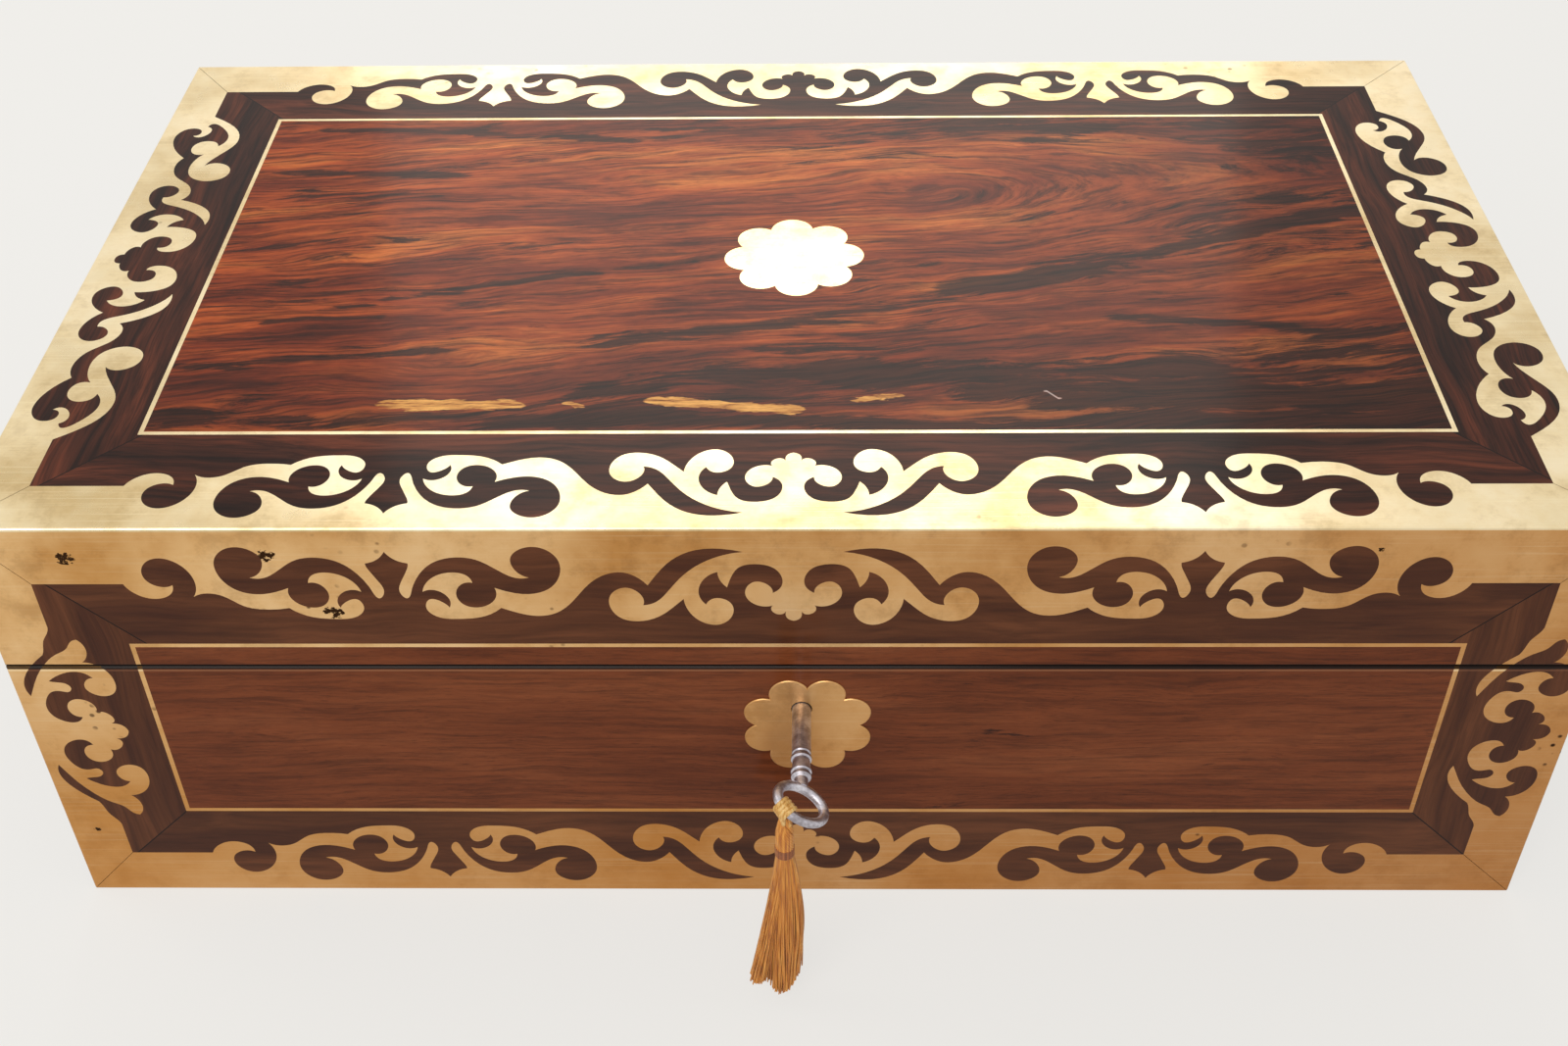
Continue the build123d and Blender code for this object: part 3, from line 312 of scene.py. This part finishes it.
# Banding is cut from darker rosewood, its grain along each side, with a fine glue line at each mitre. across
# is the axis, 1 for y or 2 for z, that the face has beside x; half and middle are its half size and its centre
# on that axis.
def mitred(name, tones, half, middle, across, streaks):
    material, tree, shader, place = start(name)
    apart = split(tree, place)
    reach = maths(tree, "SUBTRACT", HALF_X, maths(tree, "ABSOLUTE", apart[0]))
    level = maths(tree, "SUBTRACT", apart[across], middle)
    rise = maths(tree, "SUBTRACT", half, maths(tree, "ABSOLUTE", level))
    difference = maths(tree, "SUBTRACT", reach, rise)
    on_end = maths(tree, "LESS_THAN", difference, 0.0)
    line = maths(tree, "LESS_THAN", maths(tree, "ABSOLUTE", difference), GLUE_LINE_HALF)
    grain_place = chosen(tree, on_end, place, joined(tree, apart[across], apart[0], apart[0]))
    bend = noise(tree, scaled(tree, grain_place, (16, 16, 16)), 1.0, 2.0)[1]
    flow = vector(tree, "MULTIPLY_ADD", bend, (0.012, 0.012, 0.012), i2=grain_place)
    broad = noise(tree, scaled(tree, flow, (9, 95, 95)), 1.0, 5.0, 0.62, 0.4)[0]
    colour = ramp(tree, broad, *zip((0.36, 0.52, 0.66), tones))
    fine = noise(tree, scaled(tree, flow, (26, 620, 620)), 1.0, 4.0, 0.65)[0]
    colour = blend(tree, streaks, colour, ramp(tree, fine, (0.38, 0.40), (0.55, 1.05)), "MULTIPLY")
    colour = blend(tree, line, colour, tone("#140a07"))
    # Painted shade in the front joint, and a painted arris highlight, #7a5038, under it.
    colour = painted_joint_shade(tree, place, colour, "#7a5038")
    tree.links.new(colour, shader.inputs["Base Color"])
    shader.inputs["Roughness"].default_value = 0.32
    polished(shader)
    bump(tree, shader, fine, 0.10, 0.0003)
    return material


top_banding = mitred("dark_rosewood_top_banding", ("#28130c", "#452114", "#66321f"), HALF_Y, 0.0, 1, 0.85)
front_banding = mitred(
    "dark_rosewood_front_banding", ("#452415", "#56301b", "#663b23"), HALF_HIGH, HALF_HIGH, 2, 0.35)


# Eaten spots on the front brass, metres: x and z of each, and its half width.
PIT_CLUSTERS = ((-0.2013, 0.1452, 0.0030), (-0.1453, 0.1462, 0.0030), (-0.1300, 0.1246, 0.0032),
                (-0.2215, 0.0300, 0.0014), (0.1600, 0.1480, 0.0012))


# Sheet brass let into the wood and rubbed flush: satin, scratched every way by polishing, with dull patches
# and small dark pits where the lacquer has gone. Its seventh setting paints shade: deeper in colour low down
# and darker on the right.
def sheet_brass(name, bright, warm, dull, rough, pits, low_right_shade=0.0, wear_and_highlight=0.30):
    material, tree, shader, place = start(name)
    cloud = noise(tree, scaled(tree, place, (14, 14, 14)), 1.0, 4.0, 0.6)[0]
    colour = ramp(tree, cloud, (0.34, dull), (0.50, warm), (0.66, bright))
    mottle = noise(tree, scaled(tree, place, (70, 70, 70)), 1.0, 6.0, 0.72)[0]
    faded = ramp(tree, mottle, (0.36, "#c9bca4"), (0.48, "#f6f0e4"), (0.58, "#ffffff"))
    colour = blend(tree, 0.45, colour, faded, "MULTIPLY")
    x, _, z = split(tree, place)
    # Painted shade: deeper orange #c0803a low down, and darker by #c9a883 towards the right.
    colour = blend(tree, spread_over(tree, z, 0.02, 0.12, low_right_shade, 0.0), colour, tone("#c0803a"))
    side = spread_over(tree, x, -0.18, 0.16, 0.0, low_right_shade)
    colour = blend(tree, side, colour, tone("#c9a883"), "MULTIPLY")
    runs = []
    for angle in (0.1, 0.9, 2.1, 1.5):
        run = scaled(tree, place, (18, 1500, 1500), (angle * 0.6, angle * 0.3, angle))
        runs.append(ramp(tree, noise(tree, run, 1.0, 2.0)[0], (0.62, 0.0), (0.76, 1.0)))
    scratches = highest(tree, runs)
    spots = add(tree, "ShaderNodeTexVoronoi", Vector=place, Scale=240.0, Randomness=1.0).outputs[0]
    where = noise(tree, scaled(tree, place, (34, 34, 34)), 1.0, 3.0)[0]
    pit = maths(tree, "MULTIPLY", ramp(tree, spots, (0.14, 1.0), (0.24, 0.0)),
                ramp(tree, where, (0.62, 0.0), (0.70, 1.0)))
    eaten = noise(tree, scaled(tree, place, (900, 900, 900)), 1.0, 3.0, 0.7)[0]
    for pit_x, pit_z, wide in PIT_CLUSTERS:
        u = maths(tree, "DIVIDE", maths(tree, "SUBTRACT", x, pit_x), wide)
        v = maths(tree, "DIVIDE", maths(tree, "SUBTRACT", z, pit_z), wide * 0.8)
        far = maths(tree, "ADD", maths(tree, "MULTIPLY", u, u), maths(tree, "MULTIPLY", v, v))
        near = maths(tree, "SUBTRACT", 1.0, far)
        crumbled = maths(tree, "GREATER_THAN", maths(tree, "MULTIPLY_ADD", near, 0.22, eaten), 0.60)
        one = maths(tree, "MULTIPLY", maths(tree, "GREATER_THAN", near, 0.0), crumbled)
        pit = maths(tree, "MAXIMUM", pit, one)
    pit = maths(tree, "MULTIPLY", pit, pits)
    colour = blend(tree, maths(tree, "MULTIPLY", scratches, wear_and_highlight), colour, tone("#fff0c8"))
    colour = blend(tree, pit, colour, tone("#3a2412"))
    # Painted shade in the front joint, and a painted highlight, #ffe9bc, along the arris under it.
    colour = painted_joint_shade(tree, place, colour, "#ffe9bc")
    tree.links.new(colour, shader.inputs["Base Color"])
    shader.inputs["Metallic"].default_value = 1.0
    finish = maths(tree, "MULTIPLY_ADD", cloud, 0.22, rough - 0.11)
    finish = maths(tree, "ADD", finish, maths(tree, "MULTIPLY_ADD", mottle, -0.30, 0.15))
    finish = maths(tree, "MULTIPLY_ADD", pit, 0.3, finish)
    tree.links.new(finish, shader.inputs["Roughness"])
    height = maths(tree, "SUBTRACT", maths(tree, "MULTIPLY", scratches, -0.3), pit)
    wave = noise(tree, scaled(tree, place, (40, 40, 40)), 1.0, 2.0)[0]
    bump(tree, shader, maths(tree, "MULTIPLY_ADD", wave, 1.6, height), 0.22, 0.0003)
    return material


top_brass = sheet_brass("rubbed_sheet_brass_top", "#fbeccd", "#efdcb4", "#d6bc8c", 0.32, 0.5)
# The front brass carries painted shade low down and on the right, at 0.6.
front_brass = sheet_brass("rubbed_sheet_brass_front", "#f2cf9c", "#e6bb82", "#cc985a", 0.38, 1.0, 0.6, 0.10)
plate_brass = sheet_brass("polished_plate_brass", "#fff0c6", "#f6e2ae", "#e4cb8c", 0.24, 0.2)
fitting_brass = sheet_brass("cast_fitting_brass", "#d9b468", "#c39a4c", "#94702f", 0.36, 0.6)


# Wrought and filed steel, dull grey-brown from handling, with a bright worn skin on the high spots.
def worn_steel(name):
    material, tree, shader, place = start(name)
    cloud = noise(tree, scaled(tree, place, (160, 160, 160)), 1.0, 5.0, 0.65)[0]
    colour = ramp(tree, cloud, (0.34, "#9d969c"), (0.48, "#c4c0c9"), (0.62, "#e9e7ef"))
    file_marks = noise(tree, scaled(tree, place, (900, 2600, 900)), 1.0, 2.0)[0]
    colour = blend(tree, 0.35, colour, ramp(tree, file_marks, (0.38, 0.5), (0.55, 1.0)), "MULTIPLY")
    tree.links.new(colour, shader.inputs["Base Color"])
    shader.inputs["Metallic"].default_value = 1.0
    tree.links.new(maths(tree, "MULTIPLY_ADD", cloud, 0.30, 0.26), shader.inputs["Roughness"])
    bump(tree, shader, file_marks, 0.18, 0.0002)
    return material


steel = worn_steel("filed_key_steel")


# Waxed mahogany inside: straight open grain, soft sheen, no coat.
def mahogany(name, colours):
    material, tree, shader, place = start(name)
    bend = noise(tree, scaled(tree, place, (8, 8, 8)), 1.0, 2.0)[1]
    flow = vector(tree, "MULTIPLY_ADD", bend, (0.02, 0.02, 0.02), i2=place)
    broad = noise(tree, scaled(tree, flow, (6, 80, 80)), 1.0, 4.0, 0.6)[0]
    colour = ramp(tree, broad, *zip((0.34, 0.52, 0.68), colours))
    pores = noise(tree, scaled(tree, flow, (90, 1900, 1900)), 1.0, 2.0)[0]
    colour = blend(tree, 0.7, colour, ramp(tree, pores, (0.34, 0.4), (0.46, 1.0)), "MULTIPLY")
    tree.links.new(colour, shader.inputs["Base Color"])
    shader.inputs["Roughness"].default_value = 0.48
    bump(tree, shader, pores, 0.25, 0.0003)
    return material


board_wood = mahogany("plain_mahogany_boards", ("#4a2415", "#6b3820", "#85492b"))
fitting_wood = mahogany("waxed_mahogany_fittings", ("#67331d", "#884a2a", "#a5633b"))


# Gilt lines on the leather, metres: how far each lies from the edge, and its half width.
GILT_LINES = ((0.0070, 0.00045), (0.0130, 0.00025))
LEATHER_HALF_LONG = 0.2064


# Goatskin writing surface, pebbled and rubbed, tooled with a double gilt line near its edges. middle is the y
# of its centre.
def tooled_leather(name, middle, half_wide):
    material, tree, shader, place = start(name)
    x, y, _ = split(tree, place)
    across = maths(tree, "SUBTRACT", LEATHER_HALF_LONG, maths(tree, "ABSOLUTE", x))
    along = maths(tree, "ABSOLUTE", maths(tree, "SUBTRACT", y, middle))
    inset = maths(tree, "MINIMUM", across, maths(tree, "SUBTRACT", half_wide, along))
    lines = []
    for distance, wide in GILT_LINES:
        away = maths(tree, "ABSOLUTE", maths(tree, "SUBTRACT", inset, distance))
        lines.append(maths(tree, "LESS_THAN", away, wide))
    gilt = highest(tree, lines)
    wear = noise(tree, scaled(tree, place, (300, 300, 300)), 1.0, 4.0)[0]
    gilt = maths(tree, "MULTIPLY", gilt, ramp(tree, wear, (0.34, 0.15), (0.5, 1.0)))
    pebble = add(tree, "ShaderNodeTexVoronoi", Vector=place, Scale=900.0).outputs[0]
    cloud = noise(tree, scaled(tree, place, (16, 16, 16)), 1.0, 4.0)[0]
    colour = ramp(tree, cloud, (0.35, "#16301f"), (0.55, "#21452e"), (0.72, "#345a3c"))
    colour = blend(tree, gilt, colour, tone("#d2a94e"))
    tree.links.new(colour, shader.inputs["Base Color"])
    tree.links.new(maths(tree, "MULTIPLY", gilt, 0.85), shader.inputs["Metallic"])
    tree.links.new(maths(tree, "MULTIPLY_ADD", cloud, 0.2, 0.42), shader.inputs["Roughness"])
    bump(tree, shader, pebble, 0.35, 0.0003)
    return material


# Wool baize: matt, felted, green under the box.
def baize_cloth(name):
    material, tree, shader, place = start(name)
    nap = noise(tree, scaled(tree, place, (1400, 1400, 1400)), 1.0, 3.0)[0]
    colour = ramp(tree, nap, (0.35, "#12281a"), (0.65, "#274a33"))
    tree.links.new(colour, shader.inputs["Base Color"])
    shader.inputs["Roughness"].default_value = 0.95
    shader.inputs["Sheen Weight"].default_value = 0.35
    bump(tree, shader, nap, 0.5, 0.0004)
    return material


# Moulded clear glass of the inkwells, faintly green and slightly uneven.
def ink_glass(name):
    material, tree, shader, place = start(name)
    shader.inputs["Base Color"].default_value = tone("#e6f2ee")
    shader.inputs["Transmission Weight"].default_value = 1.0
    shader.inputs["IOR"].default_value = 1.5
    wave = noise(tree, scaled(tree, place, (90, 90, 90)), 1.0, 2.0)[0]
    tree.links.new(maths(tree, "MULTIPLY", wave, 0.08), shader.inputs["Roughness"])
    bump(tree, shader, wave, 0.15, 0.0004)
    return material


# Twisted silk thread: long soft fibres that glint along their length. twist is how tightly its turns lie.
def silk(name, low, mid, high, twist):
    material, tree, shader, place = start(name)
    strand = noise(tree, scaled(tree, place, (1500, 1500, 70)), 1.0, 3.0)[0]
    colour = ramp(tree, strand, (0.34, low), (0.50, mid), (0.66, high))
    tree.links.new(colour, shader.inputs["Base Color"])
    shader.inputs["Roughness"].default_value = 0.55
    shader.inputs["Sheen Weight"].default_value = 0.4
    shader.inputs["Sheen Tint"].default_value = tone("#ffd9a0")
    shader.inputs["Subsurface Weight"].default_value = 0.06
    shader.inputs["Subsurface Radius"].default_value = (0.002, 0.001, 0.0005)
    twisted = scaled(tree, place, (2600, 2600, twist))
    bump(tree, shader, add(tree, "ShaderNodeTexNoise", Vector=twisted, Scale=1.0).outputs[0], 0.4, 0.0003)
    return material


skirt_silk = silk("floss_silk_amber", "#a85c1c", "#cf842c", "#e6a24a", 260)
loop_silk = silk("twisted_silk_gold", "#b98238", "#dcae62", "#eecb8c", 1400)
wrap_silk = silk("binding_silk_russet", "#6e3418", "#8f4c26", "#a9683a", 2600)


# Every piece carried over from the CAD gets its material.
def paint(material, *names):
    for name in names:
        holder = nodes[name]
        if not holder.material_slots:
            holder.data.materials.append(material)
        for held in holder.material_slots:
            held.material = material


paint(lid_figure, "lid_top_panel")
paint(front_figure, "base_front_panel", "lid_front_panel")
paint(veneer_figure, "base_side_veneers", "lid_side_veneers")
paint(top_banding, "lid_top_banding")
paint(front_banding, "base_front_banding", "lid_front_banding")
paint(top_brass, "lid_top_brass_border", "lid_top_stringing")
paint(front_brass, "base_front_brass_border", "lid_front_brass_border", "base_front_stringing",
      "lid_front_stringing", "escutcheon")
paint(plate_brass, "lid_top_plate", "inkwell_cap_left", "inkwell_cap_right")
paint(fitting_brass, "base_hinge_leaves", "lid_hinge_leaves", "base_flap_fixed_leaves",
      "lid_flap_fixed_leaves", "base_flap_moving_leaves", "lid_flap_moving_leaves", "base_screws",
      "lid_screws", "base_flap_screws", "lid_flap_screws", "lock_case", "lid_hook_plate")
paint(steel, "key", "lock_bolt")
paint(tooled_leather("tooled_goatskin_base", 0.0234, 0.0714), "base_flap_leather")
paint(tooled_leather("tooled_goatskin_lid", -0.0068, 0.1016), "lid_flap_leather")
paint(baize_cloth("wool_baize"), "base_baize")
paint(ink_glass("moulded_ink_glass"), "inkwell_left", "inkwell_right")
paint(fitting_wood, "pen_tray", "tray_partition", "tray_floor", "inkwell_dividers", "base_flap_board",
      "lid_flap_board", "base_flap_ledges", "lid_flap_ledges", "base_flap_rail", "lid_flap_rail")
paint(board_wood, "base_bottom_board", "base_front_wall", "base_back_wall", "base_left_wall",
      "base_right_wall", "lid_top_board", "lid_front_wall", "lid_back_wall", "lid_left_wall",
      "lid_right_wall")

# The tassel: silk strands looped over the key's bow, a bound head and a loose skirt.
BOW_HANG = Vector((-0.0025, -0.1761, 0.0886))
HEAD_LOW = 0.0730
BINDING_LOW = 0.0690


# One mesh of threads; each path has points of x, y, z and a share of the thickness. sides rounds the threads.
def strands(name, paths, thick, material, sides=1):
    curve = bpy.data.curves.new(name, "CURVE")
    curve.dimensions = "3D"
    curve.bevel_depth = thick
    curve.bevel_resolution = sides
    curve.resolution_u = 3
    curve.use_fill_caps = True
    for path in paths:
        spline = curve.splines.new("NURBS")
        spline.points.add(len(path) - 1)
        for point, (x, y, z, radius) in zip(spline.points, path):
            point.co = (x, y, z, 1)
            point.radius = radius
        spline.order_u = min(4, len(path))
        spline.use_endpoint_u = True
    made = bpy.data.objects.new(name, curve)
    bpy.context.scene.collection.objects.link(made)
    bpy.ops.object.select_all(action="DESELECT")
    made.select_set(True)
    bpy.context.view_layer.objects.active = made
    bpy.ops.object.convert(target="MESH")
    made = bpy.context.view_layer.objects.active
    made.data.materials.clear()
    made.data.materials.append(material)
    bpy.ops.object.shade_smooth()
    return made


# The skirt has parted in two locks: a longer round-ended one, and a shorter one that leans to the left.
SKIRT_STRANDS = 520
SKIRT_STEPS = 8
SKIRT_TOP = BINDING_LOW + 0.001
skirt_paths = []
for index in range(SKIRT_STRANDS):
    left_lock = index % 10 < 3
    angle = random.uniform(0, 2 * math.pi)
    spread = random.random() ** 0.5
    across, deep = spread * math.cos(angle), spread * math.sin(angle)
    x0 = BOW_HANG.x - 0.0003 + 0.0022 * across
    y0 = BOW_HANG.y + 0.0020 * deep
    if left_lock:
        x1 = BOW_HANG.x - 0.0088 + 0.0026 * across
        low = 0.0092 + 0.0016 * (across + 1) + random.uniform(0, 0.0008)
    else:
        x1 = BOW_HANG.x - 0.0014 + 0.0052 * across
        low = 0.0066 + 0.0065 * abs(across + 0.1) ** 2.2 + random.uniform(0, 0.0009)
    y1 = BOW_HANG.y + 0.0038 * deep
    loose = random.random() < 0.05
    phase = random.uniform(0, 6.3)
    path = []
    for step in range(SKIRT_STEPS + 1):
        t = step / SKIRT_STEPS
        ease = t ** 1.15
        belly = 0.0
        if not left_lock:
            belly = 0.0022 * math.sin(math.pi * min(1.0, t * 1.05)) * max(0.0, across)
        wave = 0.00035 * math.sin(9.0 * t + phase) * t
        if loose:
            wave += 0.0009 * math.sin(7 * t + phase) * t
        x = x0 + (x1 - x0) * ease + belly + wave
        y = y0 + (y1 - y0) * ease + 0.00025 * math.sin(8.0 * t + 2 * phase) * t
        path.append((x, y, SKIRT_TOP + (low - SKIRT_TOP) * t, 1.0 - 0.3 * t * t))
    skirt_paths.append(path)
skirt = strands("tassel_skirt_strands", skirt_paths, 0.00029, skirt_silk, 0)

# The head: threads in two layers that twist a little and swell towards the binding.
HEAD_STRANDS = 40
HEAD_STEPS = 5
HEAD_TURNS = 2.6
head_paths = []
for index in range(HEAD_STRANDS):
    angle = 2 * math.pi * index / HEAD_STRANDS * HEAD_TURNS
    layer = 1.0 if index % 2 else 0.72
    path = []
    for step in range(HEAD_STEPS + 1):
        t = step / HEAD_STEPS
        width = (0.0010 + 0.0013 * math.sin(math.pi * min(1.0, t * 0.75)) + 0.0003 * t) * layer
        twist = angle + 3.2 * t
        x = BOW_HANG.x - 0.0002 * t + width * math.cos(twist)
        y = BOW_HANG.y + width * math.sin(twist)
        path.append((x, y, BOW_HANG.z - 0.0030 + (HEAD_LOW - BOW_HANG.z + 0.0025) * t, 1))
    head_paths.append(path)
head = strands("tassel_head_strands", head_paths, 0.00048, skirt_silk)

# Four plies of the hanging loop go up in front of the bow's wire, over it and down inside the ring.
BOW_TURN = math.radians(33)
bow_out = Vector((-math.cos(BOW_TURN), 0, math.sin(BOW_TURN)))
outward = (bow_out * 5.9 + Vector((0, -1, 0)) * 7.7).normalized()
along = Vector((bow_out.x * 0.79, 0.61, bow_out.z * 0.79)).normalized()
upward = outward.cross(along).normalized()
if upward.z < 0:
    upward = -upward
loop_paths = []
for offset in (-0.0017, -0.0006, 0.0006, 0.0017):
    reach = 0.00235 + 0.0001 * random.random()
    path = [(BOW_HANG.x + offset * 0.5 + 0.0006, BOW_HANG.y - 0.0010, BOW_HANG.z - 0.0062, 0.9)]
    for degrees in (-60, -15, 30, 75, 120, 165, 210, 240):
        a = math.radians(degrees)
        p = BOW_HANG + along * offset + outward * (reach * math.cos(a)) + upward * (reach * math.sin(a))
        path.append((p.x, p.y, p.z, 1.0))
    path.append((BOW_HANG.x + offset * 0.4 + 0.0004, BOW_HANG.y + 0.0008, BOW_HANG.z - 0.0062, 0.9))
    loop_paths.append(path)
loops = strands("tassel_loop_plies", loop_paths, 0.00072, loop_silk, 3)

# One thread wound round the neck of the tassel.
WRAPS = 6
WRAP_POINTS = 12
wrap_path = []
for step in range(WRAPS * WRAP_POINTS + 1):
    a = 2 * math.pi * step / WRAP_POINTS
    drop = (HEAD_LOW - BINDING_LOW - 0.0006) * step / (WRAPS * WRAP_POINTS)
    wrap_path.append((BOW_HANG.x - 0.00025 + 0.0026 * math.cos(a), BOW_HANG.y + 0.0025 * math.sin(a),
                      HEAD_LOW - 0.0003 - drop, 1))
binding = strands("tassel_binding_wraps", [wrap_path], 0.00036, wrap_silk, 2)

for piece, node, slot in ((skirt, "tassel_skirt", "tassel_silk"), (head, "tassel_head", "tassel_silk"),
                          (loops, None, "tassel_silk"), (binding, "tassel_binding", "binding_silk")):
    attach(piece, "tassel")
    if node:
        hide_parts(node)

# 1 where the camera sees it straight, through glass or in a polished face, and 0 for the light it gives.
def seen_directly(tree):
    ray = tree.nodes.new("ShaderNodeLightPath").outputs
    return highest(tree, [ray["Is Camera Ray"], ray["Is Transmission Ray"], ray["Is Glossy Ray"]])


# Pale floor that keeps the shadow, seen by the camera and by the polish as near white.
bpy.ops.object.select_all(action="DESELECT")
bpy.ops.mesh.primitive_plane_add(size=24)
floor = bpy.context.active_object
floor.name = "pale_floor"
paper, tree, shader, place = start("pale_matt_paper")
shader.inputs["Base Color"].default_value = tone("#efeeeb")
shader.inputs["Roughness"].default_value = 0.9
seen = seen_directly(tree)
clean = add(tree, "ShaderNodeEmission", Color=tone("#f0efec"), Strength=1.0)
lit = add(tree, "ShaderNodeMixShader", i0=maths(tree, "MULTIPLY", seen, 0.78), i1=shader.outputs[0],
          i2=clean.outputs[0])
tree.links.new(lit.outputs[0], next(n for n in tree.nodes if n.type == "OUTPUT_MATERIAL").inputs[0])
floor.data.materials.append(paper)

# A soft pale surround, brighter to look at than the light it gives.
world = bpy.data.worlds.new("soft_studio")
bpy.context.scene.world = world
world.use_nodes = True
tree = world.node_tree
tree.nodes.clear()
seen = seen_directly(tree)
dim = add(tree, "ShaderNodeBackground", Color=tone("#f6f3ee"), Strength=0.6)
pale = add(tree, "ShaderNodeBackground", Color=tone("#f3f2ee"), Strength=1.0)
mixed = add(tree, "ShaderNodeMixShader", i0=seen, i1=dim.outputs[0], i2=pale.outputs[0])
sky = tree.nodes.new("ShaderNodeOutputWorld")
tree.links.new(mixed.outputs[0], sky.inputs[0])


# An area lamp at a place, pointed at aim.
def lamp(name, place, aim, size, watts, colour):
    bpy.ops.object.light_add(type="AREA", location=place)
    made = bpy.context.active_object
    made.name = name
    made.data.shape = "RECTANGLE"
    made.data.size, made.data.size_y = size
    made.data.energy = watts
    made.data.color = tone(colour)[:3]
    made.rotation_euler = (Vector(aim) - Vector(place)).to_track_quat("-Z", "Y").to_euler()


lamp("back_gleam", (0.0, 1.20, 1.02), (0, 0, 0.15), (0.95, 0.66), 4.6, "#fff8ee")
lamp("front_soft", (-0.5, -1.5, 1.6), (0, 0, 0.08), (1.4, 1.0), 16, "#fffaf4")
lamp("side_soft", (-1.4, 0.3, 1.5), (0, 0, 0.08), (1.0, 1.0), 6, "#fffaf4")

# Camera of the photograph: solved from the box's own corners.
camera_data = bpy.data.cameras.new("photo_camera")
camera_data.lens = 42.34
camera_data.sensor_width = 36.0
camera = bpy.data.objects.new("photo_camera", camera_data)
bpy.context.scene.collection.objects.link(camera)
pitch, yaw, roll = math.radians(40.84), math.radians(-1.27), math.radians(-0.91)
ahead = Vector((math.sin(yaw) * math.cos(pitch), math.cos(yaw) * math.cos(pitch), -math.sin(pitch)))
right = Vector((math.cos(yaw), -math.sin(yaw), 0))
over = right.cross(ahead)
right_rolled = right * math.cos(roll) + over * math.sin(roll)
over_rolled = over * math.cos(roll) - right * math.sin(roll)
camera.location = (0.0060, -0.5115, 0.4834)
camera.rotation_euler = Matrix((right_rolled, over_rolled, -ahead)).transposed().to_euler()
bpy.context.scene.camera = camera
bpy.context.scene.view_settings.view_transform = "Standard"
